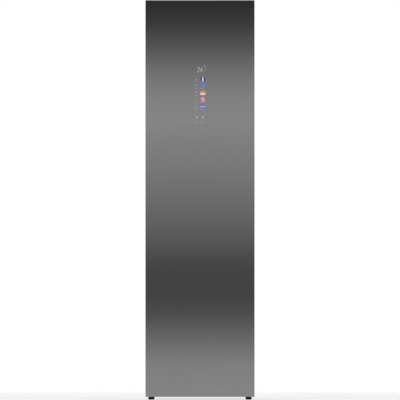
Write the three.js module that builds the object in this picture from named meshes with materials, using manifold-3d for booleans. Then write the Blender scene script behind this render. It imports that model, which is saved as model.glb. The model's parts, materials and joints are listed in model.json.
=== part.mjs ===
// Steam cabinet for clothes: a tall case with water tanks and a heat pump at the bottom, a steam chamber
// with a shaking hanger rail above them, and one full-height glass door hinged on the right.
// Millimetres, +Z up, front towards -Y, origin on the floor under the middle of the case.
import * as THREE from "three";
import { mergeVertices } from "three/addons/utils/BufferGeometryUtils.js";
import Module from "manifold-3d";

const wasm = await Module();
wasm.setup();

// Overall size, with the door shut
const width = 505;
const height = 1850;
const depth = 590;

// Clearances and cuts
const fit = 0.3;
const overrun = 3;
const weld = 0.0001;
const roundSides = 20;
const smallSides = 12;
const cornerSteps = 3;

// Case sheet metal
const sheet = 1.2;
const sideReturn = 16;
const topRim = 12;
const topReturn = 30;

// Feet and base frame
const footSides = 16;
const footHeight = 13.6;
const footRadius = 14;
const footToeRadius = 12;
const footToeHeight = 3;
const footCrownRadius = 12.5;
const footCrownHeight = 3;
const footStemRadius = 5;
const footSideInset = 27;
const footFrontInset = 32;
const footRearInset = 40;
const baseSheet = 3;
const baseRimHeight = 22;
const bossRadius = 10;
const bossHeight = 14;

// Door
const doorThickness = 55;
const doorGap = 8;
const glassThickness = 4;
const shellInset = 0.6;
const shellWall = 2;
const gripRim = 10;
const gripDepth = 16;
const gripWidth = 24;
const capHeight = 14;
const doorLinerWall = 3;
const recessSide = 43.5;
const recessDepth = 42;
const recessBottom = 44;
const recessDrop = 4;
const gasketSide = 18;
const gasketWidth = 14;
const gasketLift = 7;
const gasketRise = 30;

// Control display behind the glass
const displayLeft = -20;
const displayRight = 35;
const displayHeight = 300;
const displayTopInset = 288;
const displayThickness = 12;
const displayFlange = 5;

// Door hinges
const pinSideInset = 14;
const pinFrontInset = 25;
const pinRadius = 5;
const pinHeadRadius = 8;
const pinHeadHeight = 2.4;
const pinLength = 40;
const bracketHalf = 9;
const bracketThickness = 4;
const bracketOffset = 3.6;
const bracketReach = 20;
const pocketDepth = 12;
const pocketClearance = 1.6;
const socketHalf = 11;
const socketDepth = 32;

// Trouser press on the inside of the door
const pressSide = 102.5;
const pressFloorGap = 230;
const pressCeilingGap = 250;
const boardThickness = 10;
const leafThickness = 12;
const trouserGap = 6;
const knuckleRadius = 8;
const knuckleOffset = 16;
const knuckleCount = 4;
const hingePinRadius = 3;
const clipHalf = 74;
const clipDrop = 16;
const clipRise = 10;
const clipThickness = 4;
const clipPivotRadius = 3;
const clipPivotRise = 22;
const clipPivotOut = 12;
const earWidth = 6;
const earMargin = 5;

// Steam chamber liner
const linerWall = 3;
const linerBottom = 440;
const chamberSide = 40.5;
const chamberFloor = 470;
const chamberTopInset = 120;
const chamberRearGap = 45;
const chamberCorner = 16;
const ledgeDepth = 8;
const ledgeHeight = 10;
const ledgeTop = 630;
const ledgeFrontInset = 82;
const ledgeRearInset = 50;
const shelfThickness = 6;
const shelfSideGap = 3;
const shelfRim = 16;
const shelfSlots = 9;
const shelfBar = 10;

// Chamber floor fittings
const filterSide = 40;
const filterWidth = 124;
const cartridgeSide = 64;
const cartridgeWidth = 86;
const fittingInset = 22;
const fittingDepth = 36;
const fittingPlate = 4;
const fittingMargin = 5;
const filterDrop = 56;
const filterFrame = 6;
const filterWeb = 1.6;
const cartridgeDrop = 34;
const cartridgeWall = 2;
const gripRidge = 8;
const gripRidgeHeight = 9;
const grilleHalf = 105;
const grilleLead = 9;
const grilleDepth = 96;
const grilleHeight = 16;
const grilleWall = 2;
const grilleSlots = 14;
const grilleSlotWidth = 6;
const grilleMargin = 14;
const nozzleInset = 22;
const nozzleRadius = 15;
const nozzleCrownRadius = 9;
const nozzleHeight = 12;
const nozzleRimHeight = 4;
const steamPipeRadius = 6;
const lampHalf = 70;
const lampInset = 26;
const lampWidth = 20;
const lampHeight = 6;

// Shaking hanger rail
const stroke = 20;
const railRadius = 11;
const railEndGap = 10;
const railDrop = 80;
const railSet = 1;
const clampRadius = 17;
const clampHalf = 9;
const postSpacing = 70;
const postWidth = 8;
const postDepth = 20;
const slotMargin = 2;
const driveSheet = 3;
const driveHalf = 88;
const driveFrontReach = 42;
const driveBackReach = 122;
const bridgeHalf = 26;
const bridgeRise = 72;
const guideRadius = 5;
const guideRise = 30;
const carriageHalf = 44;
const carriageDepth = 44;
const carriageBottomRise = 17;
const carriageHeight = 26;
const yokeThickness = 4;
const yokeSlotHalf = 28;
const crankPinRadius = 5;
const crankPinGap = 0.6;
const crankPinLength = 7;
const crankPulleyRadius = 34;
const motorPulleyRadius = 12;
const pulleyHeight = 12;
const pulleyFlange = 3;
const pulleyFlangeHeight = 1.6;
const pulleySpacing = 92;
const beltGap = 0.6;
const beltThickness = 2;
const beltHeight = 8;
const crankStudRadius = 6;
const crankStudHead = 10;
const crankStudHeadHeight = 3;
const motorRadius = 24;
const motorShaftRadius = 4;
const motorShoulderRadius = 10;
const motorShoulderHeight = 4;

// Hangers
const hangerEndGap = 62;
const hangerCount = 3;
const hookRadius = 16;
const hookWire = 5;
const hookTail = 34;
const hangerWallGap = 49;
const hangerDrop = 74;
const hangerNeck = 16;
const hangerArm = 18;
const hangerTip = 8;
const hangerThickness = 12;
const hangerSteps = 6;
const hookSteps = 9;
const hookSides = 6;
const hangerCurve = 1.6;

// Tank bay and water tanks
const bayWall = 3;
const baySide = 44.5;
const bayMiddle = 4;
const bayFloor = 65;
const bayCeiling = 397;
const bayDuctGap = 4;
const tankSideGap = 3;
const tankFrontSet = 8;
const tankBackGap = 3;
const tankHeight = 265;
const tankWall = 2.5;
const tankCorner = 6;
const tankGripHalf = 45;
const tankGripBottom = 190;
const tankGripHeight = 42;
const tankGripDepth = 22;
const lidPlate = 4;
const lidLip = 8;
const lidRidgeHalf = 52;
const lidRidgeDepth = 16;
const lidRidgeHeight = 14;

// Air duct, heat exchangers and fan
const ductSide = 5;
const ductRight = -17;
const ductRearGap = 353;
const ductDepth = 170;
const ductTop = 402;
const ductWall = 2;
const ductIntakeMargin = 20;
const ductIntakeDepth = 74;
const coilGap = 2;
const coilThickness = 42;
const coilPlate = 3;
const coilHeight = 360;
const coilInset = 6;
const evaporatorInset = 14;
const condenserInset = 30;
const stubRadius = 4;
const stubRise = 280;
const stubLength = 8;
const fanZ = 232;
const fanCaseMargin = 9;
const fanCaseWall = 2;
const fanCaseDepth = 74;
const fanInletMargin = 38;
const fanOutletInset = 1;
const fanOutletWidth = 70;
const pedestalInset = 44;
const impellerGap = 22;
const bladeSpan = 14;
const impellerDepth = 50;
const impellerPlate = 3;
const impellerHubRadius = 12;
const bladeCount = 14;
const bladeThickness = 2.4;
const bladeTilt = 0.5;
const fanMotorRadius = 38;
const fanMotorDepth = 44;
const fanShaftRadius = 4;
const fanShaftReach = 60;

// Refrigerant and steam machines
const compressorRearGap = 93;
const compressorRadius = 62;
const compressorBottom = 13;
const compressorHeight = 220;
const compressorCrown = 26;
const compressorLegs = 66;
const compressorFootRadius = 9;
const compressorPlate = 4;
const compressorStub = 10;
const compressorDomeShare = 0.62;
const pipeSteps = 18;
const pipeSides = 6;
const boilerLeft = 30;
const boilerSide = 62.5;
const boilerInset = 10;
const boilerDepth = 134;
const boilerHeight = 110;
const boilerWall = 3;
const boilerFlange = 5;
const boilerFlangeHeight = 6;
const boilerCollarRadius = 11;
const boilerBoreRadius = 5;
const boilerCollarHeight = 14;
const pumpSetBack = 30;
const pumpRadius = 17;
const pumpHalf = 24;
const pumpRise = 24;
const pumpFootHalf = 14;
const pumpSpoutRadius = 4;
const pumpSpoutHeight = 30;
const pumpInset = 22;
const controlInset = 10;
const controlDepth = 88;
const controlBottom = 210;
const controlTop = 388;
const controlRib = 6;

// Back panel and mains inlet
const louvreColumns = 2;
const louvreRows = 9;
const louvreWidth = 130;
const louvreHeight = 6;
const louvrePitch = 18;
const louvreSpacing = 190;
const louvreBottom = 150;
const inletSide = 62.5;
const inletZ = 66;
const inletHalf = 14;
const inletHeight = 24;
const inletDepth = 26;
const inletWall = 2.4;
const inletSet = 0.4;
const inletPinRadius = 1.8;
const inletPinSpacing = 7;
const inletPinDrop = 3;

// Derived places of the case and door
const halfWidth = width / 2;
const front = -depth / 2;
const back = depth / 2;
const doorBack = front + doorThickness;
const caseFront = doorBack + doorGap;
const caseBottom = footHeight + fit;
const innerHalf = halfWidth - sheet - fit;
const backInner = back - sheet - fit;
const baseFloor = caseBottom + baseSheet;
const baseTop = caseBottom + baseRimHeight;
const machineFloor = baseFloor + fit;
const linerTop = height - topRim - fit;
const chamberHalf = halfWidth - chamberSide;
const chamberCeiling = height - chamberTopInset;
const chamberBack = back - chamberRearGap;
const linerUnderside = chamberFloor - linerWall;
const linerCrown = chamberCeiling + linerWall;
const glassBack = front + glassThickness;
const shellFront = glassBack + fit;
const shellBack = doorBack - doorLinerWall - fit;
const shellHalf = halfWidth - shellInset;
const doorMiddle = (footHeight + height) / 2;
const pinX = halfWidth - pinSideInset;
const pinY = front + pinFrontInset;
const recessHalf = halfWidth - recessSide;
const recessTop = linerBottom - recessDrop;
const gasketHalf = halfWidth - gasketSide;
const gasketBottom = linerBottom + gasketLift;
const gasketTop = chamberCeiling + gasketRise;
const displayTop = height - displayTopInset;
const displayBottom = displayTop - displayHeight;

// Derived places of the trouser press, from the door's inside skin towards the chamber
const pressHalf = halfWidth - pressSide;
const pressBottom = chamberFloor + pressFloorGap;
const pressHeight = chamberCeiling - pressCeilingGap - pressBottom;
const boardFront = doorBack + fit;
const boardBack = boardFront + boardThickness;
const leafFront = boardBack + trouserGap;
const leafBack = leafFront + leafThickness;
const knuckleX = pressHalf + knuckleOffset;
const knuckleY = leafFront;

// Derived places of the machine room, from the rear forwards, and of the tank bay in front of it
const bayHalf = halfWidth - baySide;
const ductLeft = ductSide - bayHalf;
const ductFront = back - ductRearGap;
const ductBack = ductFront + ductDepth;
const bayRear = ductFront - bayDuctGap;
const bayBack = bayRear - bayWall;
const evaporatorY = ductFront + evaporatorInset;
const condenserY = ductBack - condenserInset - coilThickness;
const fanX = (ductLeft + ductRight) / 2;
const fanCaseRadius = (ductRight - ductLeft) / 2 - fanCaseMargin;
const fanInletRadius = fanCaseRadius - fanInletMargin;
const fanOutletRight = fanX + fanCaseRadius - fanOutletInset;
const fanOutletLeft = fanOutletRight - fanOutletWidth;
const impellerRadius = fanCaseRadius - impellerGap;
const boilerRight = halfWidth - boilerSide;
const compressorX = (boilerLeft + boilerRight) / 2;
const compressorY = back - compressorRearGap;
const boilerFront = bayRear + boilerInset;
const boilerBack = boilerFront + boilerDepth;
const pumpY = boilerBack + pumpSetBack;
const supplyPumpX = boilerLeft + pumpInset;
const drainPumpX = boilerRight - pumpInset;
const controlLeft = boilerLeft - controlInset;
const controlRight = boilerRight + controlInset;
const inletX = inletSide - halfWidth;

// Derived places of the chamber's fittings
const ledgeFront = caseFront + ledgeFrontInset;
const ledgeBack = chamberBack - ledgeRearInset;
const filterLeft = filterSide - chamberHalf;
const filterRight = filterLeft + filterWidth;
const cartridgeRight = chamberHalf - cartridgeSide;
const cartridgeLeft = cartridgeRight - cartridgeWidth;
const fittingFront = caseFront + fittingInset;
const fittingBack = fittingFront + fittingDepth;
const grilleFront = ductBack - grilleLead;
const grilleBack = grilleFront + grilleDepth;
const nozzleX = compressorX;
const nozzleY = boilerBack - nozzleInset;
const lampFront = caseFront + lampInset;

// Derived places of the hanger rail, its hangers and its drive
const railHalf = chamberHalf - stroke - railEndGap;
const railHeight = chamberCeiling - railDrop;
const railY = (caseFront + chamberBack) / 2 - railSet;
const hangerSpacing = 2 * (railHalf - hangerEndGap) / (hangerCount - 1);
const hangerHalf = (chamberBack - caseFront) / 2 - hangerWallGap;
const driveFloor = linerCrown + fit;
const driveTop = driveFloor + driveSheet;
const guideZ = driveTop + guideRise;
const carriageBottom = driveTop + carriageBottomRise;
const carriageTop = carriageBottom + carriageHeight;
const yokeTop = carriageTop + yokeThickness;
const crankPinBottom = yokeTop + crankPinGap;
const pulleyBottom = crankPinBottom + crankPinLength;
const pulleyTop = pulleyBottom + pulleyHeight;
const bridgeBottom = driveTop + bridgeRise;
const motorY = railY + pulleySpacing;

// Finishes
function paint(color, roughness, metalness) {
  return new THREE.MeshStandardMaterial({ color, roughness, metalness });
}
const darkGlass = paint(0x3a3b3d, 0.08, 0.6);
const paintedSteel = paint(0x3d3e41, 0.45, 0.3);
const galvanised = paint(0xa9adb0, 0.4, 0.8);
const chrome = paint(0xd6d8da, 0.12, 1);
const steel = paint(0x8f9397, 0.35, 0.9);
const linerPlastic = paint(0xe4e5e6, 0.5, 0);
const greyPlastic = paint(0x9b9ea2, 0.5, 0);
const darkPlastic = paint(0x2c2d30, 0.55, 0);
const blackRubber = paint(0x151515, 0.85, 0);
const tankPlastic = paint(0xb9c6d2, 0.25, 0);
const pressFelt = paint(0xb7b2aa, 0.9, 0);
const copper = paint(0xb87342, 0.35, 0.9);
const finAluminium = paint(0xc4c7ca, 0.4, 0.85);
const compressorBlack = paint(0x1b1c1e, 0.5, 0.3);
const lampDiffuser = paint(0xf5f5ef, 0.4, 0);
const displayBlack = paint(0x101113, 0.3, 0);

// Closed block between two opposite corners.
function block(x0, x1, y0, y1, z0, z1) {
  const geometry = new THREE.BoxGeometry(Math.abs(x1 - x0), Math.abs(y1 - y0), Math.abs(z1 - z0));
  return solid(geometry.translate((x0 + x1) / 2, (y0 + y1) / 2, (z0 + z1) / 2));
}

// Block with round upright edges.
function roundBlock(x0, x1, y0, y1, z0, z1, radius) {
  const outline = new THREE.Shape();
  outline.moveTo(x0 + radius, y0);
  outline.absarc(x1 - radius, y0 + radius, radius, -Math.PI / 2, 0);
  outline.absarc(x1 - radius, y1 - radius, radius, 0, Math.PI / 2);
  outline.absarc(x0 + radius, y1 - radius, radius, Math.PI / 2, Math.PI);
  outline.absarc(x0 + radius, y0 + radius, radius, Math.PI, 1.5 * Math.PI);
  outline.closePath();
  return raised(outline, z0, z1, cornerSteps);
}

// Round bar along X, Y or Z from start to end; u and v place its centre line on the other two axes.
function rod(axis, radius, start, end, u, v, sides = roundSides) {
  const geometry = new THREE.CylinderGeometry(radius, radius, Math.abs(end - start), sides);
  const middle = (start + end) / 2;
  if (axis === "x") {
    geometry.rotateZ(-Math.PI / 2).translate(middle, u, v);
  } else if (axis === "y") {
    geometry.translate(u, middle, v);
  } else {
    geometry.rotateX(Math.PI / 2).translate(u, v, middle);
  }
  return solid(geometry);
}

// Turned piece about the Z axis from [radius, height] pairs listed upwards, starting and ending on the axis.
function turned(profile, sides = roundSides) {
  const points = profile.map(([radius, z]) => new THREE.Vector2(radius, z));
  return solid(new THREE.LatheGeometry(points, sides).rotateX(Math.PI / 2));
}

// Outline in the XY plane raised along Z.
function raised(outline, start, end, steps = roundSides) {
  const settings = { depth: end - start, bevelEnabled: false, curveSegments: steps };
  return solid(new THREE.ExtrudeGeometry(outline, settings).translate(0, 0, start));
}

// Section swept along a path.
function alongPath(section, extrudePath, steps, curveSegments) {
  const settings = { steps, curveSegments, bevelEnabled: false, extrudePath };
  return solid(new THREE.ExtrudeGeometry(section, settings));
}

// Outline given as [x, y] pairs.
function polygon(points) {
  return new THREE.Shape(points.map(([x, y]) => new THREE.Vector2(x, y)));
}

// Closed body of a geometry: shared corners merged, triangles of no area left out.
function solid(geometry) {
  geometry.deleteAttribute("normal");
  geometry.deleteAttribute("uv");
  const merged = mergeVertices(geometry, weld);
  const corners = Array.from(merged.index.array);
  const triangles = [];
  for (let i = 0; i < corners.length; i += 3) {
    const [a, b, c] = corners.slice(i, i + 3);
    if (a !== b && b !== c && c !== a) {
      triangles.push(a, b, c);
    }
  }
  const vertProperties = new Float32Array(merged.attributes.position.array);
  const triVerts = new Uint32Array(triangles);
  return new wasm.Manifold(new wasm.Mesh({ numProp: 3, vertProperties, triVerts }));
}

// One body out of several that overlap each other.
function join(first, ...others) {
  return others.reduce((whole, next) => whole.add(next), first);
}

// A body with other bodies cut out of it.
function cut(body, ...holes) {
  return holes.reduce((rest, hole) => rest.subtract(hole), body);
}

// Named mesh of a body in its finish.
function piece(name, body, finish) {
  const mesh = body.getMesh();
  const geometry = new THREE.BufferGeometry();
  geometry.setAttribute("position", new THREE.BufferAttribute(mesh.vertProperties, 3));
  geometry.setIndex(new THREE.BufferAttribute(mesh.triVerts, 1));
  geometry.computeVertexNormals();
  const result = new THREE.Mesh(geometry, finish);
  result.name = name;
  return result;
}

// Levelling foot about its own screw axis, standing on the floor.
function levellingFoot() {
  return turned([
    [0, 0],
    [footToeRadius, 0],
    [footRadius, footToeHeight],
    [footRadius, footHeight - footCrownHeight],
    [footCrownRadius, footHeight],
    [footStemRadius, footHeight],
    [footStemRadius, baseFloor + bossHeight],
    [0, baseFloor + bossHeight],
  ], footSides);
}

// The four places of the feet, as [name, x, y].
function footPlaces() {
  const x = halfWidth - footSideInset;
  const frontY = caseFront + footFrontInset;
  const rearY = back - footRearInset;
  return [
    ["front_left", -x, frontY],
    ["front_right", x, frontY],
    ["rear_left", -x, rearY],
    ["rear_right", x, rearY],
  ];
}

// Pressed tray that carries everything, with threaded bosses for the feet and a notch for the hinge.
function baseFrame() {
  const rear = backInner - sheet - fit;
  const tray = block(-innerHalf, innerHalf, caseFront, rear, caseBottom, baseTop);
  const inside = block(
    -innerHalf + baseSheet, innerHalf - baseSheet,
    caseFront + baseSheet, rear - baseSheet,
    baseFloor, baseTop + overrun,
  );
  const bosses = footPlaces().map(([, x, y]) => (
    rod("z", bossRadius, caseBottom, baseFloor + bossHeight, x, y, smallSides)
  ));
  const bores = footPlaces().map(([, x, y]) => (
    rod("z", footStemRadius + fit, caseBottom - overrun, baseTop, x, y, smallSides)
  ));
  const notch = block(
    pinX - bracketHalf - slotMargin, pinX + bracketHalf + slotMargin,
    caseFront - overrun, caseFront + baseSheet + overrun,
    baseFloor, footHeight + bracketOffset + bracketThickness + slotMargin,
  );
  return cut(join(cut(tray, inside), ...bosses), ...bores, notch);
}

// Left or right side sheet with a welded return behind the liner's front flange and one at the rear.
function sidePanel(side) {
  const outer = side * halfWidth;
  const inner = side * (halfWidth - sheet);
  const lip = side * (halfWidth - sideReturn);
  const lipFront = caseFront + linerWall + fit;
  const skin = block(outer, inner, caseFront, back, caseBottom, height);
  const frontLip = block(outer, lip, lipFront, lipFront + sheet, baseTop + fit, linerTop);
  const rearLip = block(outer, lip, backInner - sheet, backInner, caseBottom, height - topRim - fit);
  return join(skin, frontLip, rearLip);
}

// Top sheet with a front rim, an inner shelf that carries the upper hinge bracket, and a rear rim.
function topPanel() {
  const shelfTop = height - bracketOffset - bracketThickness - fit;
  const plate = block(-innerHalf, innerHalf, caseFront, backInner, height - sheet, height);
  const frontRim = block(-innerHalf, innerHalf, caseFront, caseFront + sheet, height - topRim, height);
  const shelf = block(-innerHalf, innerHalf, caseFront, caseFront + topReturn, shelfTop - sheet, shelfTop);
  const rearRim = block(-innerHalf, innerHalf, backInner - sheet, backInner, height - topRim, height);
  const notch = block(
    pinX - bracketHalf - slotMargin, pinX + bracketHalf + slotMargin,
    caseFront - overrun, caseFront + sheet + overrun,
    shelfTop, height - sheet,
  );
  return cut(join(plate, frontRim, shelf, rearRim), notch);
}

// Rear sheet with rows of louvres and a window for the mains inlet.
function backPanel() {
  const panel = block(-innerHalf, innerHalf, back - sheet, back, caseBottom, height);
  const louvres = [];
  for (let column = 0; column < louvreColumns; column += 1) {
    for (let row = 0; row < louvreRows; row += 1) {
      const x = (column - (louvreColumns - 1) / 2) * louvreSpacing;
      const z = louvreBottom + row * louvrePitch;
      louvres.push(block(
        x - louvreWidth / 2, x + louvreWidth / 2,
        back - sheet - overrun, back + overrun,
        z, z + louvreHeight,
      ));
    }
  }
  const window = block(
    inletX - inletHalf - fit, inletX + inletHalf + fit,
    back - sheet - overrun, back + overrun,
    inletZ - fit, inletZ + inletHeight + fit,
  );
  return cut(panel, window, ...louvres);
}

// Mains inlet: a cup open to the rear with three contact pins, set just inside the back panel's face.
function mainsInlet() {
  const face = back - inletSet;
  const cup = block(
    inletX - inletHalf, inletX + inletHalf,
    face - inletDepth, face,
    inletZ, inletZ + inletHeight,
  );
  const hollow = block(
    inletX - inletHalf + inletWall, inletX + inletHalf - inletWall,
    face - inletDepth + inletWall, face + overrun,
    inletZ + inletWall, inletZ + inletHeight - inletWall,
  );
  const middle = inletZ + inletHeight / 2;
  const pins = [-1, 0, 1].map((place) => rod(
    "y", inletPinRadius, face - inletDepth + inletWall / 2, face - inletWall,
    inletX + place * inletPinSpacing, middle + (place === 0 ? inletPinDrop : -inletPinDrop) / 2,
    smallSides,
  ));
  return join(cut(cup, hollow), ...pins);
}

// Strip along an axis that rounds a chamber corner line at (u, v); turnU and turnV point into the chamber.
function cove(axis, start, end, u, v, turnU, turnV) {
  const centreU = u + turnU * chamberCorner;
  const centreV = v + turnV * chamberCorner;
  const rootU = u - turnU * linerWall / 2;
  const rootV = v - turnV * linerWall / 2;
  const bars = {
    x: () => block(start, end, rootU, centreU, rootV, centreV),
    y: () => block(rootU, centreU, start, end, rootV, centreV),
    z: () => block(rootU, centreU, rootV, centreV, start, end),
  };
  return cut(bars[axis](), rod(axis, chamberCorner, start - overrun, end + overrun, centreU, centreV));
}

// Round corners between the chamber's sides, floor, ceiling and rear wall.
function chamberCoves() {
  const root = linerWall / 2;
  const levels = [[chamberFloor, 1], [chamberCeiling, -1]];
  const sides = [-1, 1];
  const alongDepth = sides.flatMap((side) => levels.map(([level, turn]) => (
    cove("y", caseFront, chamberBack + root, side * chamberHalf, level, -side, turn)
  )));
  const upright = sides.map((side) => (
    cove("z", chamberFloor - root, chamberCeiling + root, side * chamberHalf, chamberBack, -side, -1)
  ));
  const across = levels.map(([level, turn]) => (
    cove("x", -chamberHalf - root, chamberHalf + root, chamberBack, level, -1, turn)
  ));
  return [...alongDepth, ...upright, ...across];
}

// Steam chamber: tub with a front flange, shelf ledges, and openings in its floor and ceiling.
function innerLiner() {
  const outerHalf = chamberHalf + linerWall;
  const flange = block(-innerHalf, innerHalf, caseFront, caseFront + linerWall, linerBottom, linerTop);
  const tub = block(
    -outerHalf, outerHalf,
    caseFront, chamberBack + linerWall,
    linerUnderside, linerCrown,
  );
  const chamber = block(
    -chamberHalf, chamberHalf,
    caseFront - overrun, chamberBack,
    chamberFloor, chamberCeiling,
  );
  const ledges = [-1, 1].map((side) => block(
    side * (chamberHalf - ledgeDepth), side * (chamberHalf + linerWall / 2),
    ledgeFront, ledgeBack,
    ledgeTop - ledgeHeight, ledgeTop,
  ));
  const room = join(cut(join(flange, tub), chamber), ...chamberCoves(), ...ledges);
  return cut(room, ...floorOpenings(), ...postSlots(0));
}

// Openings through the chamber floor for the filter, cartridge, warm air and steam pipe.
function floorOpenings() {
  const bottom = linerUnderside - overrun;
  const top = chamberFloor + overrun;
  const fitting = (left, right) => block(
    left + fittingMargin - fit, right - fittingMargin + fit,
    fittingFront + fittingMargin - fit, fittingBack - fittingMargin + fit,
    bottom, top,
  );
  const warmAir = block(
    fanOutletLeft + fanCaseWall, fanOutletRight - fanCaseWall,
    ductBack + fit + fanCaseWall, ductBack + fit + fanCaseDepth - fanCaseWall,
    bottom, top,
  );
  return [
    fitting(filterLeft, filterRight),
    fitting(cartridgeLeft, cartridgeRight),
    warmAir,
    rod("z", steamPipeRadius + fit, bottom, top, nozzleX, nozzleY),
  ];
}

// Slots in which the carriage's two posts travel, widened all round by an extra margin.
function postSlots(extra) {
  const travel = postWidth / 2 + stroke + slotMargin + extra;
  const halfDepth = postDepth / 2 + slotMargin + extra;
  return [-1, 1].map((side) => {
    const x = side * postSpacing / 2;
    return block(
      x - travel, x + travel,
      railY - halfDepth, railY + halfDepth,
      chamberCeiling - overrun, driveTop + overrun,
    );
  });
}

// Lift-out shelf: a rimmed tray of bars that lies on the liner's ledges.
function shelf() {
  const half = chamberHalf - shelfSideGap;
  const bottom = ledgeTop + fit;
  const plate = block(-half, half, ledgeFront, ledgeBack, bottom, bottom + shelfThickness);
  const pitch = (2 * half - 2 * shelfRim + shelfBar) / shelfSlots;
  const slots = [];
  for (let i = 0; i < shelfSlots; i += 1) {
    const left = -half + shelfRim + i * pitch;
    slots.push(block(
      left, left + pitch - shelfBar,
      ledgeFront + shelfRim, ledgeBack - shelfRim,
      bottom - overrun, bottom + shelfThickness + overrun,
    ));
  }
  return cut(plate, ...slots);
}

// Plate, drop-in body and finger ridge shared by the lint filter and the scent cartridge.
function dropIn(left, right, drop) {
  const plateBottom = chamberFloor + fit;
  const plateTop = plateBottom + fittingPlate;
  const middleY = (fittingFront + fittingBack) / 2;
  const plate = block(left, right, fittingFront, fittingBack, plateBottom, plateTop);
  const body = block(
    left + fittingMargin, right - fittingMargin,
    fittingFront + fittingMargin, fittingBack - fittingMargin,
    chamberFloor - drop, plateTop,
  );
  const quarter = (right - left) / 4;
  const ridge = block(
    left + quarter, right - quarter,
    middleY - gripRidge / 2, middleY + gripRidge / 2,
    plateTop - fit, plateTop + gripRidgeHeight,
  );
  return join(plate, body, ridge);
}

// Lint filter: a frame closed by a thin web of mesh.
function lintFilter() {
  const middleY = (fittingFront + fittingBack) / 2;
  const windows = [-1, 1].map((side) => block(
    filterLeft + fittingMargin + filterFrame, filterRight - fittingMargin - filterFrame,
    middleY + side * filterWeb / 2, middleY + side * (fittingBack - fittingFront),
    chamberFloor - filterDrop + filterFrame, chamberFloor - filterFrame,
  ));
  return cut(dropIn(filterLeft, filterRight, filterDrop), ...windows);
}

// Scent cartridge with a well for the scented sheet, open at the top on both sides of its ridge.
function scentCartridge() {
  const middleY = (fittingFront + fittingBack) / 2;
  const wells = [-1, 1].map((side) => block(
    cartridgeLeft + 2 * fittingMargin, cartridgeRight - 2 * fittingMargin,
    middleY + side * (gripRidge / 2 + fit),
    middleY + side * ((fittingBack - fittingFront) / 2 - fittingMargin - cartridgeWall),
    chamberFloor - cartridgeDrop + cartridgeWall, chamberFloor + fittingPlate + overrun,
  ));
  return cut(dropIn(cartridgeLeft, cartridgeRight, cartridgeDrop), ...wells);
}

// Cover over the warm-air opening, hollow underneath, with a row of slots on top.
function airGrille() {
  const bottom = chamberFloor + fit;
  const top = bottom + grilleHeight;
  const cover = block(-grilleHalf, grilleHalf, grilleFront, grilleBack, bottom, top);
  const hollow = block(
    -grilleHalf + grilleWall, grilleHalf - grilleWall,
    grilleFront + grilleWall, grilleBack - grilleWall,
    bottom - overrun, top - grilleWall,
  );
  const pitch = (2 * grilleHalf - 2 * grilleMargin - grilleSlotWidth) / (grilleSlots - 1);
  const slots = [];
  for (let i = 0; i < grilleSlots; i += 1) {
    const left = -grilleHalf + grilleMargin + i * pitch;
    slots.push(block(
      left, left + grilleSlotWidth,
      grilleFront + grilleMargin, grilleBack - grilleMargin,
      top - grilleWall - overrun, top + overrun,
    ));
  }
  return cut(cover, hollow, ...slots);
}

// Steam nozzle: a low cap on the chamber floor on top of its straight pipe from the steam generator.
function steamNozzle() {
  const bottom = chamberFloor + fit;
  const pipeEnd = machineFloor + boilerHeight + boilerCollarHeight + fit;
  return turned([
    [0, pipeEnd],
    [steamPipeRadius, pipeEnd],
    [steamPipeRadius, bottom],
    [nozzleRadius, bottom],
    [nozzleRadius, bottom + nozzleRimHeight],
    [nozzleCrownRadius, bottom + nozzleHeight],
    [0, bottom + nozzleHeight],
  ]).translate([nozzleX, nozzleY, 0]);
}

// Light bar under the chamber's ceiling, behind the door.
function interiorLamp() {
  const top = chamberCeiling - fit;
  const slope = lampHeight / 2;
  const outline = polygon([
    [lampFront, top],
    [lampFront, top - slope],
    [lampFront + slope, top - lampHeight],
    [lampFront + lampWidth - slope, top - lampHeight],
    [lampFront + lampWidth, top - slope],
    [lampFront + lampWidth, top],
  ]);
  return alongX(raised(outline, -lampHalf, lampHalf));
}

// Turns an outline drawn as (y, z) and raised along Z so that it runs along X.
function alongX(body) {
  return body.rotate([90, 0, 90]);
}

// Sheet bracket of the rail drive: floor plate, two end walls and a bridge with the crank's stud.
function shakerBracket() {
  const floor = block(
    -driveHalf, driveHalf,
    railY - driveFrontReach, railY + driveBackReach,
    driveFloor, driveTop,
  );
  const walls = [-1, 1].map((side) => block(
    side * driveHalf, side * (driveHalf - driveSheet),
    railY - bridgeHalf, railY + bridgeHalf,
    driveFloor, bridgeBottom + driveSheet,
  ));
  const bridge = block(
    -driveHalf, driveHalf,
    railY - bridgeHalf, railY + bridgeHalf,
    bridgeBottom, bridgeBottom + driveSheet,
  );
  const shoulder = rod("z", crankStudHead, pulleyTop + fit, bridgeBottom + driveSheet, 0, railY);
  const stud = rod("z", crankStudRadius, pulleyBottom - fit, bridgeBottom, 0, railY);
  const head = rod(
    "z", crankStudHead,
    pulleyBottom - fit - crankStudHeadHeight, pulleyBottom - fit,
    0, railY,
  );
  const bore = rod("x", guideRadius + fit, -driveHalf - overrun, driveHalf + overrun, railY, guideZ);
  const frame = cut(join(floor, ...walls, bridge), bore, ...postSlots(slotMargin));
  return join(frame, shoulder, stud, head);
}

// Guide rod between the bracket's end walls.
function guideRod() {
  return rod("x", guideRadius, -driveHalf, driveHalf, railY, guideZ);
}

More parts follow.
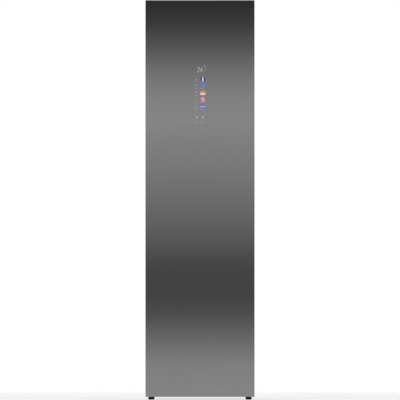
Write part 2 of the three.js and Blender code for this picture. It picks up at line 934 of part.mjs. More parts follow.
// Carriage on the guide rod: block, slotted yoke on top, two posts and the clamps that hold the rail.
function shakerCarriage() {
  const body = block(
    -carriageHalf, carriageHalf,
    railY - carriageDepth / 2, railY + carriageDepth / 2,
    carriageBottom, yokeTop,
  );
  const yokeSlot = block(
    -crankPinRadius - fit, crankPinRadius + fit,
    railY - yokeSlotHalf + crankPinRadius, railY + yokeSlotHalf - crankPinRadius,
    carriageTop, yokeTop + overrun,
  );
  const posts = [-1, 1].map((side) => {
    const x = side * postSpacing / 2;
    return block(
      x - postWidth / 2, x + postWidth / 2,
      railY - postDepth / 2, railY + postDepth / 2,
      railHeight, carriageBottom + overrun,
    );
  });
  const clamps = [-1, 1].map((side) => {
    const x = side * postSpacing / 2;
    return rod("x", clampRadius, x - clampHalf, x + clampHalf, railY, railHeight);
  });
  const boreHalf = carriageHalf + overrun;
  const guideBore = rod("x", guideRadius + fit, -boreHalf, boreHalf, railY, guideZ);
  const railBore = rod("x", railRadius + fit, -railHalf, railHalf, railY, railHeight);
  return cut(join(body, ...posts, ...clamps), yokeSlot, guideBore, railBore);
}

// Hanger rail through the carriage's clamps.
function hangerRail() {
  return rod("x", railRadius, -railHalf, railHalf, railY, railHeight);
}

// Belt pulley about its own axis, with a flange on each side of the belt.
function pulley(radius, boreRadius) {
  const rim = radius + pulleyFlange;
  const upper = pulleyTop - pulleyFlangeHeight;
  const lower = pulleyBottom + pulleyFlangeHeight;
  const body = turned([
    [0, pulleyBottom],
    [rim, pulleyBottom],
    [rim, lower],
    [radius, lower],
    [radius, upper],
    [rim, upper],
    [rim, pulleyTop],
    [0, pulleyTop],
  ]);
  return cut(body, rod("z", boreRadius + fit, pulleyBottom - overrun, pulleyTop + overrun, 0, 0));
}

// Crank pulley: a pulley whose pin drives the carriage's yoke.
function crankPulley() {
  const pin = rod("z", crankPinRadius, crankPinBottom, pulleyBottom + pulleyFlangeHeight, 0, stroke);
  return join(pulley(crankPulleyRadius, crankStudRadius), pin);
}

// Loop around two circles of different radius whose centres lie apart along Y.
function beltLoop(nearRadius, farRadius, spacing) {
  const angle = Math.asin((nearRadius - farRadius) / spacing);
  const outline = new THREE.Shape();
  outline.absarc(0, 0, nearRadius, Math.PI - angle, 2 * Math.PI + angle, false);
  outline.absarc(0, spacing, farRadius, angle, Math.PI - angle, false);
  outline.closePath();
  return outline;
}

// Drive belt between the pulleys' flanges.
function driveBelt() {
  const middle = (pulleyBottom + pulleyTop) / 2;
  const bottom = middle - beltHeight / 2;
  const inner = beltLoop(crankPulleyRadius + beltGap, motorPulleyRadius + beltGap, pulleySpacing);
  const outer = beltLoop(
    crankPulleyRadius + beltGap + beltThickness,
    motorPulleyRadius + beltGap + beltThickness,
    pulleySpacing,
  );
  const loop = cut(
    raised(outer, bottom, bottom + beltHeight, smallSides),
    raised(inner, bottom - overrun, bottom + beltHeight + overrun, smallSides),
  );
  return loop.translate([0, railY, 0]);
}

// Motor of the rail drive, standing on the bracket's floor plate behind the carriage.
function shakerMotor() {
  const bottom = driveTop + fit;
  const top = pulleyBottom - fit - motorShoulderHeight;
  return turned([
    [0, bottom],
    [motorRadius, bottom],
    [motorRadius, top],
    [motorShoulderRadius, top],
    [motorShoulderRadius, top + motorShoulderHeight],
    [motorShaftRadius, top + motorShoulderHeight],
    [motorShaftRadius, pulleyTop],
    [0, pulleyTop],
  ]).translate([0, motorY, 0]);
}

// Outline of a hanger in the YZ plane about its hook's centre: sloping shoulders that thin to the tips.
function hangerOutline() {
  const neckZ = -hookRadius - hookTail;
  const slope = (share) => neckZ - hangerDrop * share ** hangerCurve;
  const upper = [];
  const lower = [];
  for (let i = 0; i <= hangerSteps; i += 1) {
    const share = i / hangerSteps;
    const y = hangerNeck / 2 + (hangerHalf - hangerNeck / 2) * share;
    const thickness = hangerArm + (hangerTip - hangerArm) * share;
    upper.push([y, slope(share)]);
    lower.push([y, slope(share) - thickness]);
  }
  const mirrored = (points) => points.map(([y, z]) => [-y, z]);
  return polygon([
    ...mirrored(upper).reverse(),
    ...upper,
    ...lower.reverse(),
    ...mirrored(lower.reverse()),
  ]);
}

// Wire of a hook that arches over the rail from its open end, round its centre, and down the neck.
function hangerHook() {
  const middle = hookRadius + hookWire / 2;
  const path = new THREE.CurvePath();
  const points = [];
  for (let i = 0; i <= hookSteps; i += 1) {
    const angle = -Math.PI / 6 + i / hookSteps * Math.PI * 7 / 6;
    points.push(new THREE.Vector3(0, middle * Math.cos(angle), middle * Math.sin(angle)));
  }
  const neck = -hookRadius - hookTail - hangerArm / 2;
  points.push(new THREE.Vector3(0, -middle, -hookRadius / 2));
  points.push(new THREE.Vector3(0, -hookRadius / 2, -hookRadius - hookWire));
  points.push(new THREE.Vector3(0, 0, -hookRadius - hookTail / 2));
  points.push(new THREE.Vector3(0, 0, neck));
  path.add(new THREE.CatmullRomCurve3(points));
  const section = new THREE.Shape();
  section.absarc(0, 0, hookWire / 2, 0, 2 * Math.PI, false);
  return alongPath(section, path, 2 * hookSteps, hookSides / 2);
}

// Hanger about its hook's centre.
function hanger() {
  const body = alongX(raised(hangerOutline(), -hangerThickness / 2, hangerThickness / 2));
  return join(body, hangerHook());
}

// Front of the lower case with two pockets for the tanks.
function tankBay() {
  const fascia = block(
    -innerHalf, innerHalf,
    caseFront, caseFront + bayWall,
    baseTop + fit, linerBottom - fit,
  );
  const body = block(
    -bayHalf - bayWall, bayHalf + bayWall,
    caseFront, bayRear,
    bayFloor - bayWall, bayCeiling + bayWall,
  );
  const pockets = [-1, 1].map((side) => block(
    side * bayMiddle, side * bayHalf,
    caseFront - overrun, bayBack,
    bayFloor, bayCeiling,
  ));
  return cut(join(fascia, body), ...pockets);
}

// Water tank about the middle of its own width: round upright corners, open at the top, with a finger
// pocket in its front.
function waterTank() {
  const half = (bayHalf - bayMiddle) / 2 - tankSideGap;
  const tankFront = caseFront + tankFrontSet;
  const tankBack = bayBack - tankBackGap;
  const bottom = bayFloor + fit;
  const top = bottom + tankHeight;
  const grip = bottom + tankGripBottom;
  const outer = roundBlock(-half, half, tankFront, tankBack, bottom, top, tankCorner + tankWall);
  const inner = roundBlock(
    -half + tankWall, half - tankWall,
    tankFront + tankWall, tankBack - tankWall,
    bottom + tankWall, top + overrun,
    tankCorner,
  );
  const gripOuter = block(
    -tankGripHalf - tankWall, tankGripHalf + tankWall,
    tankFront, tankFront + tankGripDepth + tankWall,
    grip - tankWall, grip + tankGripHeight + tankWall,
  );
  const gripInner = block(
    -tankGripHalf, tankGripHalf,
    tankFront - overrun, tankFront + tankGripDepth,
    grip, grip + tankGripHeight,
  );
  return cut(outer, cut(inner, gripOuter), gripInner);
}

// Tank lid about the middle of its own width: plate, lip inside the tank and a ridge to lift it by.
function tankLid() {
  const half = (bayHalf - bayMiddle) / 2 - tankSideGap;
  const tankFront = caseFront + tankFrontSet;
  const tankBack = bayBack - tankBackGap;
  const bottom = bayFloor + tankHeight + 2 * fit;
  const middleY = (tankFront + tankBack) / 2;
  const set = tankWall + fit;
  const lipCorner = tankCorner - fit;
  const plate = roundBlock(
    -half, half, tankFront, tankBack, bottom, bottom + lidPlate, tankCorner + tankWall,
  );
  const lip = cut(
    roundBlock(
      -half + set, half - set,
      tankFront + set, tankBack - set,
      bottom - lidLip, bottom + fit,
      lipCorner,
    ),
    roundBlock(
      -half + set + tankWall, half - set - tankWall,
      tankFront + set + tankWall, tankBack - set - tankWall,
      bottom - lidLip - overrun, bottom,
      Math.max(lipCorner - tankWall, fit),
    ),
  );
  const ridge = block(
    -lidRidgeHalf, lidRidgeHalf,
    middleY - lidRidgeDepth / 2, middleY + lidRidgeDepth / 2,
    bottom, bottom + lidPlate + lidRidgeHeight,
  );
  return join(plate, lip, ridge);
}

// Air duct: a casing on the base frame, open to the filter above its front and to the fan at its rear.
function airDuct() {
  const casing = block(ductLeft, ductRight, ductFront, ductBack, machineFloor, ductTop);
  const inside = block(
    ductLeft + ductWall, ductRight - ductWall,
    ductFront + ductWall, ductBack - ductWall,
    machineFloor + ductWall, ductTop - ductWall,
  );
  const intake = block(
    ductLeft + ductIntakeMargin, ductRight - ductIntakeMargin,
    ductFront + ductWall, ductFront + ductIntakeDepth,
    ductTop - overrun, ductTop + overrun,
  );
  const outlet = rod("y", fanInletRadius, ductBack - overrun, ductBack + overrun, fanX, fanZ);
  const stubHoles = [evaporatorY, condenserY].map((y) => rod(
    "x", stubRadius + fit, ductRight - overrun, ductRight + overrun,
    y + coilThickness / 2, machineFloor + stubRise, smallSides,
  ));
  return cut(casing, inside, intake, outlet, ...stubHoles);
}

// Finned coil of the heat pump between two end plates, with the stub of its pipe through the duct's wall.
function coil(frontY) {
  const bottom = machineFloor + ductWall + fit;
  const left = ductLeft + ductWall + coilGap;
  const right = ductRight - ductWall - coilGap;
  const backY = frontY + coilThickness;
  const core = block(
    left + coilPlate / 2, right - coilPlate / 2,
    frontY + coilInset, backY - coilInset,
    bottom + coilInset, bottom + coilHeight - coilInset,
  );
  const plates = [left, right - coilPlate].map((x) => (
    block(x, x + coilPlate, frontY, backY, bottom, bottom + coilHeight)
  ));
  const stub = rod(
    "x", stubRadius, right - coilPlate, ductRight + stubLength,
    frontY + coilThickness / 2, machineFloor + stubRise, smallSides,
  );
  return join(core, ...plates, stub);
}

// Fan housing: drum with an upward outlet to the chamber floor, on a pedestal.
function fanHousing() {
  const front0 = ductBack + fit;
  const rear0 = front0 + fanCaseDepth;
  const inner = fanCaseRadius - fanCaseWall;
  const top = linerUnderside - fit;
  const pedestalHalf = fanCaseRadius - pedestalInset;
  const drum = rod("y", fanCaseRadius, front0, rear0, fanX, fanZ);
  const outlet = block(fanOutletLeft, fanOutletRight, front0, rear0, fanZ, top);
  const pedestal = block(fanX - pedestalHalf, fanX + pedestalHalf, front0, rear0, machineFloor, fanZ);
  const drumHollow = rod("y", inner, front0 + fanCaseWall, rear0 - fanCaseWall, fanX, fanZ);
  const outletHollow = block(
    fanOutletLeft + fanCaseWall, fanOutletRight - fanCaseWall,
    front0 + fanCaseWall, rear0 - fanCaseWall,
    fanZ, top + overrun,
  );
  const inlet = rod("y", fanInletRadius, front0 - overrun, front0 + overrun, fanX, fanZ);
  const shaftHole = rod("y", impellerHubRadius, rear0 - overrun, rear0 + overrun, fanX, fanZ, smallSides);
  return cut(join(drum, outlet, pedestal), drumHollow, outletHollow, inlet, shaftHole);
}

// Impeller: back plate, hub and a ring of tilted blades, bored for the motor's shaft.
function fanImpeller() {
  const rear0 = ductBack + fit + fanCaseDepth - fanCaseWall * 2 - fit;
  const front0 = rear0 - impellerDepth;
  const plate = rod("y", impellerRadius, rear0 - impellerPlate, rear0, 0, 0);
  const hub = rod("y", impellerHubRadius, front0 + impellerDepth / 2, rear0, 0, 0, smallSides);
  const blades = [];
  for (let i = 0; i < bladeCount; i += 1) {
    const turn = THREE.MathUtils.radToDeg(i / bladeCount * 2 * Math.PI);
    const blade = block(
      -bladeSpan / 2, bladeSpan / 2,
      front0, rear0 - fit,
      -bladeThickness / 2, bladeThickness / 2,
    )
      .rotate([0, THREE.MathUtils.radToDeg(bladeTilt), 0])
      .translate([impellerRadius - bladeSpan / 2, 0, 0])
      .rotate([0, turn, 0]);
    blades.push(blade);
  }
  const bore = rod("y", fanShaftRadius + fit, front0, rear0 + overrun, 0, 0, smallSides);
  return cut(join(plate, hub, ...blades), bore).translate([fanX, 0, fanZ]);
}

// Fan motor on the rear of the fan housing, its shaft reaching into the impeller's hub.
function fanMotor() {
  const face = ductBack + fit + fanCaseDepth + fit;
  const can = rod("y", fanMotorRadius, face, face + fanMotorDepth, fanX, fanZ);
  const shaftEnd = face + fanMotorDepth - fanShaftReach;
  const shaft = rod("y", fanShaftRadius, shaftEnd, face + overrun, fanX, fanZ, smallSides);
  return join(can, shaft);
}

// Compressor: a domed can on a foot plate with four short legs, a pipe stub on top.
function compressor() {
  const bottom = machineFloor + compressorBottom;
  const crown = bottom + compressorHeight;
  const shoulder = compressorRadius * compressorDomeShare;
  const can = turned([
    [0, bottom],
    [compressorRadius, bottom],
    [compressorRadius, crown - compressorCrown],
    [shoulder, crown],
    [0, crown],
  ]).translate([compressorX, compressorY, 0]);
  const plate = block(
    compressorX - compressorLegs, compressorX + compressorLegs,
    compressorY - compressorLegs, compressorY + compressorLegs,
    bottom - compressorPlate, bottom + fit,
  );
  const reach = compressorLegs - compressorFootRadius;
  const legs = [[-1, -1], [1, -1], [1, 1], [-1, 1]].map(([x, y]) => rod(
    "z", compressorFootRadius, machineFloor, bottom - compressorPlate / 2,
    compressorX + x * reach, compressorY + y * reach, smallSides,
  ));
  const stub = rod(
    "z", stubRadius, crown - overrun, crown + compressorStub,
    compressorX, compressorY, smallSides,
  );
  return join(can, plate, ...legs, stub);
}

// Pipe from the compressor's stub round to the condenser's stub.
function refrigerantPipe() {
  const start = machineFloor + compressorBottom + compressorHeight + compressorStub + fit;
  const stubZ = machineFloor + stubRise;
  const end = new THREE.Vector3(ductRight + stubLength + fit, condenserY + coilThickness / 2, stubZ);
  const bend = compressorRadius / 2;
  const rise = new THREE.Vector3(compressorX, compressorY, start);
  const over = new THREE.Vector3(compressorX, compressorY, end.z);
  const across = new THREE.Vector3(compressorX, compressorY - bend, end.z);
  const turn = new THREE.Vector3(end.x + bend, end.y, end.z);
  const path = new THREE.CurvePath();
  path.add(new THREE.QuadraticBezierCurve3(rise, over, across));
  const corner = new THREE.Vector3(compressorX, end.y + bend, end.z);
  path.add(new THREE.QuadraticBezierCurve3(across, corner, turn));
  path.add(new THREE.LineCurve3(turn, end));
  const section = new THREE.Shape();
  section.absarc(0, 0, stubRadius, 0, 2 * Math.PI, false);
  return alongPath(section, path, pipeSteps, pipeSides / 2);
}

// Steam generator: a hollow boiler with a top flange and a bored collar under the steam pipe.
function steamGenerator() {
  const top = machineFloor + boilerHeight;
  const body = block(boilerLeft, boilerRight, boilerFront, boilerBack, machineFloor, top);
  const flange = block(
    boilerLeft - boilerFlange, boilerRight + boilerFlange,
    boilerFront - boilerFlange, boilerBack + boilerFlange,
    top - 2 * boilerFlangeHeight, top - boilerFlangeHeight,
  );
  const collar = rod("z", boilerCollarRadius, top - fit, top + boilerCollarHeight, nozzleX, nozzleY);
  const water = block(
    boilerLeft + boilerWall, boilerRight - boilerWall,
    boilerFront + boilerWall, boilerBack - boilerWall,
    machineFloor + boilerWall, top - boilerWall,
  );
  const bore = rod(
    "z", boilerBoreRadius,
    top - boilerWall - overrun, top + boilerCollarHeight + overrun,
    nozzleX, nozzleY, smallSides,
  );
  return cut(join(body, flange, collar), water, bore);
}

// Small water pump lying along X on its foot, with an upright spout.
function waterPump(x) {
  const axisZ = machineFloor + pumpRise;
  const body = rod("x", pumpRadius, x - pumpHalf, x + pumpHalf, pumpY, axisZ);
  const foot = block(
    x - pumpFootHalf, x + pumpFootHalf,
    pumpY - pumpRadius, pumpY + pumpRadius,
    machineFloor, axisZ,
  );
  const spout = rod("z", pumpSpoutRadius, axisZ, axisZ + pumpSpoutHeight, x, pumpY, smallSides);
  return join(body, foot, spout);
}

// Control box on the back of the tank bay, with a raised lid.
function controlBox() {
  const frontY = bayRear + fit;
  const backY = frontY + controlDepth;
  const body = block(controlLeft, controlRight, frontY, backY, controlBottom, controlTop);
  const lid = block(
    controlLeft + controlRib, controlRight - controlRib,
    backY - fit, backY + controlRib,
    controlBottom + controlRib, controlTop - controlRib,
  );
  return join(body, lid);
}

// Pane over the whole front of the door.
function doorGlass() {
  return block(-halfWidth, halfWidth, front, glassBack, footHeight, height);
}

// Formed door shell, drawn as a section and run up the door, with a finger channel in its free edge.
function doorShell() {
  const left = -shellHalf;
  const right = shellHalf;
  const gripFront = shellFront + gripRim;
  const gripBack = gripFront + gripWidth;
  const section = polygon([
    [left, shellFront],
    [right, shellFront],
    [right, shellBack],
    [right - shellWall, shellBack],
    [right - shellWall, shellFront + shellWall],
    [left + shellWall, shellFront + shellWall],
    [left + shellWall, gripFront - shellWall],
    [left + gripDepth + shellWall, gripFront - shellWall],
    [left + gripDepth + shellWall, gripBack + shellWall],
    [left + shellWall, gripBack + shellWall],
    [left + shellWall, shellBack],
    [left, shellBack],
    [left, gripBack],
    [left + gripDepth, gripBack],
    [left + gripDepth, gripFront],
    [left, gripFront],
  ]);
  const body = raised(section, footHeight + capHeight + fit, height - capHeight - fit);
  const window = block(
    displayLeft - fit, displayRight + fit,
    shellFront - overrun, shellFront + shellWall + overrun,
    displayBottom - fit, displayTop + fit,
  );
  return cut(body, window);
}

// Height at a distance inside the door's top end (1) or bottom end (-1).
function fromEnd(end, distance) {
  return doorMiddle + end * ((height - footHeight) / 2 - distance);
}

// Room that the hinge bracket needs in a corner of the door while the door swings round it.
function hingePocket(end) {
  return block(
    pinX - bracketHalf - pocketClearance, halfWidth + overrun,
    shellFront + shellWall, doorBack + overrun,
    fromEnd(end, pocketDepth), fromEnd(end, -overrun),
  );
}

// End cap of the door with the hinge's socket, in which the pin turns.
function doorCap(end) {
  const plate = block(-shellHalf, shellHalf, shellFront, shellBack, fromEnd(end, 0), fromEnd(end, capHeight));
  const socket = block(
    pinX - socketHalf, pinX + socketHalf,
    pinY - socketHalf, pinY + socketHalf,
    fromEnd(end, pocketDepth), fromEnd(end, pocketDepth + socketDepth),
  );
  const bore = rod(
    "z", pinRadius + fit,
    Math.min(fromEnd(end, 0), fromEnd(end, pinLength + overrun)),
    Math.max(fromEnd(end, 0), fromEnd(end, pinLength + overrun)),
    pinX, pinY,
  );
  return cut(join(plate, socket), hingePocket(end), bore);
}

// Inside skin of the door with a deep recess opposite the tanks.
function doorLiner() {
  const inner = doorBack - recessDepth;
  const skin = block(-shellHalf, shellHalf, doorBack - doorLinerWall, doorBack, footHeight, height);
  const tub = block(
    -recessHalf - doorLinerWall, recessHalf + doorLinerWall,
    inner - doorLinerWall, doorBack,
    recessBottom - doorLinerWall, recessTop + doorLinerWall,
  );
  const hollow = block(-recessHalf, recessHalf, inner, doorBack + overrun, recessBottom, recessTop);
  return cut(join(skin, tub), hollow, hingePocket(1), hingePocket(-1));
}

// Seal around the chamber's opening.
function doorGasket() {
  const y0 = doorBack + fit;
  const y1 = caseFront - fit;
  const ring = block(-gasketHalf, gasketHalf, y0, y1, gasketBottom, gasketTop);
  const opening = block(
    -gasketHalf + gasketWidth, gasketHalf - gasketWidth,
    y0 - overrun, y1 + overrun,
    gasketBottom + gasketWidth, gasketTop - gasketWidth,
  );
  return cut(ring, opening);
}

// Display board in its window, with a flange that holds it from behind.
function controlDisplay() {
  const board = block(
    displayLeft, displayRight,
    shellFront, shellFront + displayThickness,
    displayBottom, displayTop,
  );
  const flangeFront = shellFront + shellWall + fit;
  const flange = block(
    displayLeft - displayFlange, displayRight + displayFlange,
    flangeFront, flangeFront + displayFlange,
    displayBottom - displayFlange, displayTop + displayFlange,
  );
  return join(board, flange);
}

// Steel arm from the case to the hinge's axis, rounded about the pin.
function hingeBracket(end) {
  const outer = fromEnd(end, bracketOffset);
  const inner = fromEnd(end, bracketOffset + bracketThickness);
  const low = Math.min(outer, inner);
  const high = Math.max(outer, inner);
  const arm = block(pinX - bracketHalf, pinX + bracketHalf, pinY, caseFront + bracketReach, low, high);
  const nose = rod("z", bracketHalf, low, high, pinX, pinY);
  return cut(join(arm, nose), rod("z", pinRadius + fit, low - overrun, high + overrun, pinX, pinY));
}

// Hinge pin: a head on the bracket's outer face and a shank down into the door's socket.
function hingePin(end) {
  const seat = fromEnd(end, bracketOffset - fit);
  const crown = fromEnd(end, bracketOffset - fit - pinHeadHeight);
  const tip = fromEnd(end, pinLength);
  const head = rod("z", pinHeadRadius, Math.min(seat, crown), Math.max(seat, crown), pinX, pinY);
  const shank = rod("z", pinRadius, Math.min(tip, crown), Math.max(tip, crown), pinX, pinY);
  return join(head, shank);
}

// Knuckles along the press hinge, every second one from the first or the second, tied to their plate.
function knuckles(first, plateFront, plateBack) {
  const pitch = pressHeight / knuckleCount;
  const result = [];
  for (let i = first; i < knuckleCount; i += 2) {
    const low = pressBottom + i * pitch + fit;
    const high = pressBottom + (i + 1) * pitch - fit;
    result.push(rod("z", knuckleRadius, low, high, knuckleX, knuckleY, smallSides));
    result.push(block(pressHalf - fit, knuckleX, plateFront, plateBack, low, high));
  }
  return result;
}

// Bore for the press hinge's pin.
function knuckleBore() {
  const low = pressBottom - overrun;
  const high = pressBottom + pressHeight + overrun;
  return rod("z", hingePinRadius + fit, low, high, knuckleX, knuckleY, smallSides);
}

// Fixed board of the press with hinge knuckles and the two ears of the clip.
function pressBoard() {
  const top = pressBottom + pressHeight + clipPivotRise + earMargin + clipPivotRadius;
  const pivotY = boardBack + clipPivotOut;
  const pivotZ = pressBottom + pressHeight + clipPivotRise;
  const board = block(-pressHalf, pressHalf, boardFront, boardBack, pressBottom, top);
  const ears = [-1, 1].map((side) => block(
    side * (clipHalf + fit), side * (clipHalf + fit + earWidth),
    boardFront, pivotY + clipPivotRadius + earMargin,
    pivotZ - clipPivotRadius - earMargin, top,
  ));
  const pivot = rod(
    "x", clipPivotRadius + fit,
    -clipHalf - earWidth - overrun, clipHalf + earWidth + overrun,
    pivotY, pivotZ, smallSides,
  );
  const hinge = knuckles(0, boardBack - clipThickness, boardBack);
  return cut(join(board, ...ears, ...hinge), pivot, knuckleBore());
}

// Hinged leaf of the press.
function pressLeaf() {
  const leaf = block(-pressHalf, pressHalf, leafFront, leafBack, pressBottom, pressBottom + pressHeight);
  return cut(join(leaf, ...knuckles(1, leafFront, leafFront + clipThickness)), knuckleBore());
}

// Pin of the press hinge.
function pressHingePin() {
  return rod("z", hingePinRadius, pressBottom, pressBottom + pressHeight, knuckleX, knuckleY, smallSides);
}

// Clip that holds the trousers' hems against the board, turning on its own pivot.
function trouserClip() {
  const pivotY = boardBack + clipPivotOut;
  const pivotZ = pressBottom + pressHeight + clipPivotRise;
  const pivot = rod(
    "x", clipPivotRadius,
    -clipHalf - earWidth, clipHalf + earWidth,
    pivotY, pivotZ, smallSides,
  );
  const jawY = boardBack + fit;
  const jaw = block(
    -clipHalf, clipHalf,
    jawY, jawY + clipThickness,
    pivotZ - clipDrop, pivotZ - clipThickness,
  );
  const web = block(
    -clipHalf, clipHalf,
    jawY, pivotY + clipPivotRadius,
    pivotZ - clipThickness, pivotZ,
  );
  const lever = block(
    -clipHalf / 2, clipHalf / 2,
    pivotY + clipPivotRadius - clipThickness, pivotY + clipPivotRadius,
    pivotZ - clipThickness, pivotZ + clipRise,
  );
  return join(pivot, jaw, web, lever);
}

// Groups: case, feet, chamber, rail drive, machine room and door.
function group(...children) {
  const result = new THREE.Group();
  result.add(...children);
  return result;
}

function placed(mesh, x, y, z) {
  mesh.position.set(x, y, z);
  return mesh;
}

function caseGroup() {
  return group(
    piece("base_frame", baseFrame(), galvanised),
    piece("side_panel_left", sidePanel(-1), paintedSteel),
    piece("side_panel_right", sidePanel(1), paintedSteel),
    piece("top_panel", topPanel(), paintedSteel),
    piece("back_panel", backPanel(), galvanised),
    piece("mains_inlet", mainsInlet(), darkPlastic),
    piece("hinge_bracket_upper", hingeBracket(1), steel),
    piece("hinge_bracket_lower", hingeBracket(-1), steel),
    piece("hinge_pin_upper", hingePin(1), steel),
    piece("hinge_pin_lower", hingePin(-1), steel),
  );
}

function feetGroup() {
  return group(...footPlaces().map(([place, x, y]) => (
    placed(piece(`levelling_foot_${place}`, levellingFoot(), blackRubber), x, y, 0)
  )));
}

function chamberGroup() {
  return group(
    piece("inner_liner", innerLiner(), linerPlastic),
    piece("shelf", shelf(), chrome),
    piece("lint_filter", lintFilter(), greyPlastic),
    piece("scent_cartridge", scentCartridge(), greyPlastic),
    piece("air_grille", airGrille(), greyPlastic),
    piece("steam_nozzle", steamNozzle(), darkPlastic),
    piece("interior_lamp", interiorLamp(), lampDiffuser),
  );
}

function railGroup() {
  const names = ["hanger_left", "hanger_middle", "hanger_right"];
  const hookZ = railHeight + railRadius + fit - hookRadius;
  const hangers = names.map((name, i) => (
    placed(piece(name, hanger(), darkPlastic), (i - (hangerCount - 1) / 2) * hangerSpacing, railY, hookZ)
  ));
  return group(
    piece("shaker_bracket", shakerBracket(), galvanised),
    piece("guide_rod", guideRod(), chrome),
    piece("shaker_carriage", shakerCarriage(), darkPlastic),
    piece("hanger_rail", hangerRail(), chrome),
    piece("shaker_motor", shakerMotor(), steel),
    placed(piece("motor_pulley", pulley(motorPulleyRadius, motorShaftRadius), darkPlastic), 0, motorY, 0),
    placed(piece("crank_pulley", crankPulley(), darkPlastic), 0, railY, 0),
    piece("drive_belt", driveBelt(), blackRubber),
    ...hangers,
  );
}

function machineGroup() {
  const tankX = (bayMiddle + bayHalf) / 2;
  return group(
    piece("tank_bay", tankBay(), linerPlastic),
    placed(piece("supply_tank", waterTank(), tankPlastic), -tankX, 0, 0),
    placed(piece("supply_tank_lid", tankLid(), greyPlastic), -tankX, 0, 0),
    placed(piece("drain_tank", waterTank(), tankPlastic), tankX, 0, 0),
    placed(piece("drain_tank_lid", tankLid(), greyPlastic), tankX, 0, 0),
    piece("air_duct", airDuct(), greyPlastic),
    piece("evaporator", coil(evaporatorY), finAluminium),
    piece("condenser", coil(condenserY), finAluminium),
    piece("fan_housing", fanHousing(), greyPlastic),
    piece("fan_impeller", fanImpeller(), darkPlastic),
    piece("fan_motor", fanMotor(), steel),
    piece("compressor", compressor(), compressorBlack),
    piece("refrigerant_pipe", refrigerantPipe(), copper),
    piece("steam_generator", steamGenerator(), steel),
    piece("supply_pump", waterPump(supplyPumpX), darkPlastic),
    piece("drain_pump", waterPump(drainPumpX), darkPlastic),
    piece("control_box", controlBox(), greyPlastic),
  );
}

function doorGroup() {
  return group(
    piece("door_glass", doorGlass(), darkGlass),
    piece("door_shell", doorShell(), paintedSteel),
    piece("door_cap_top", doorCap(1), darkPlastic),
    piece("door_cap_bottom", doorCap(-1), darkPlastic),
    piece("door_liner", doorLiner(), linerPlastic),
    piece("door_gasket", doorGasket(), greyPlastic),
    piece("control_display", controlDisplay(), displayBlack),
    piece("press_board", pressBoard(), pressFelt),
    piece("press_leaf", pressLeaf(), linerPlastic),
    piece("press_hinge_pin", pressHingePin(), steel),
    piece("trouser_clip", trouserClip(), greyPlastic),
  );
}

const cabinet = group(
  caseGroup(),
  feetGroup(),
  chamberGroup(),
  railGroup(),
  machineGroup(),
  doorGroup(),
);

export default cabinet;
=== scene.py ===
"""Looks of a steam cabinet for clothes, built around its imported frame. Metres, +Z up, front towards -Y."""
import json
import math

import bmesh
import bpy
from mathutils import Matrix, Vector

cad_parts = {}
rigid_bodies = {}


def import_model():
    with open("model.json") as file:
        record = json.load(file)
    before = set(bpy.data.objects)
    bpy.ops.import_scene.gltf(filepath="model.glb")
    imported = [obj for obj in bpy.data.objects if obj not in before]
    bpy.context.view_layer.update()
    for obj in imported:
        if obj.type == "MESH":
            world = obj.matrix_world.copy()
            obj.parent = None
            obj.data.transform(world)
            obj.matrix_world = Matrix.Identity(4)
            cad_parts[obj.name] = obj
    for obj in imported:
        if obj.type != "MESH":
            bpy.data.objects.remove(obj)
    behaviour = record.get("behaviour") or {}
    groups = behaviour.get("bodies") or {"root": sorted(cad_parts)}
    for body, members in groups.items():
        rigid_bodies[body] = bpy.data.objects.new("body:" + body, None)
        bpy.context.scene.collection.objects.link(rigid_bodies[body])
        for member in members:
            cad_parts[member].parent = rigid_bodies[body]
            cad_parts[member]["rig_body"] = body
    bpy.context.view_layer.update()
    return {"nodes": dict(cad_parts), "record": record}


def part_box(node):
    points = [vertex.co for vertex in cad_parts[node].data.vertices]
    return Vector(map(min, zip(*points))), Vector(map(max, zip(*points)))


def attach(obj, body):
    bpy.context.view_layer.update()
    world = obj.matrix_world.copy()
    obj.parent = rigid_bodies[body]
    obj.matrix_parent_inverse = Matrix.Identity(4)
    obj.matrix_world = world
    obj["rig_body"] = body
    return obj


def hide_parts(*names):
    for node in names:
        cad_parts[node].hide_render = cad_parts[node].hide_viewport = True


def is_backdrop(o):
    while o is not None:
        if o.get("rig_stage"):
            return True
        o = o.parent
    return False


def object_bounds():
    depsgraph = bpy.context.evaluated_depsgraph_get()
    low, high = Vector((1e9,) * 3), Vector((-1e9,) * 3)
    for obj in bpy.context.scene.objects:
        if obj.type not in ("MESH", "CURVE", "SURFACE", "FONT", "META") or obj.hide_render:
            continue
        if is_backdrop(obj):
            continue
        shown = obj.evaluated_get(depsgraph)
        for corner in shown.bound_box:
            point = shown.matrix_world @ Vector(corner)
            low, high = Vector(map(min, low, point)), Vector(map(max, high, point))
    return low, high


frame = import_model()
scene = bpy.context.scene
nodes = frame["nodes"]
slot_of = {row["node"]: row["material_slot"] for row in frame["record"]["subparts"]}
body_of = {name: node["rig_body"] for name, node in nodes.items()}

MM = 0.001
FULL_TURN = 2 * math.pi

# Camera: front-on at mid-height, far enough away to see the feet in full under the door, as the photo does
SENSOR = 36
CAMERA_DISTANCE = 75.0
CAMERA_HEIGHT = 0.925
FRAME_WIDTH = 1.8516

# Light, and the pale tone that shiny and clear things show of the background
FILL_LIGHT = 0.62
PALE_REFLECTION = 0.77
LAMP_POWER = 46
LAMP_SIZE = 3.0
LAMPS = (
    ("left", (-2.6, -2.5, 2.6), 1.0),
    ("right", (2.8, -1.8, 2.4), 0.8),
    ("rear", (-0.4, 3.0, 3.4), 0.8),
)

# Floor: a disc that fades out before its rim; the lift is the share of plain white that the camera sees
FLOOR_RADIUS = 3.2
FLOOR_SIDES = 96
FLOOR_FADE = 1.2
FLOOR_RIM = 0.05
FLOOR_TONE = 0.8
FLOOR_LIFT = 0.66
FLOOR_DROP = 0.0004

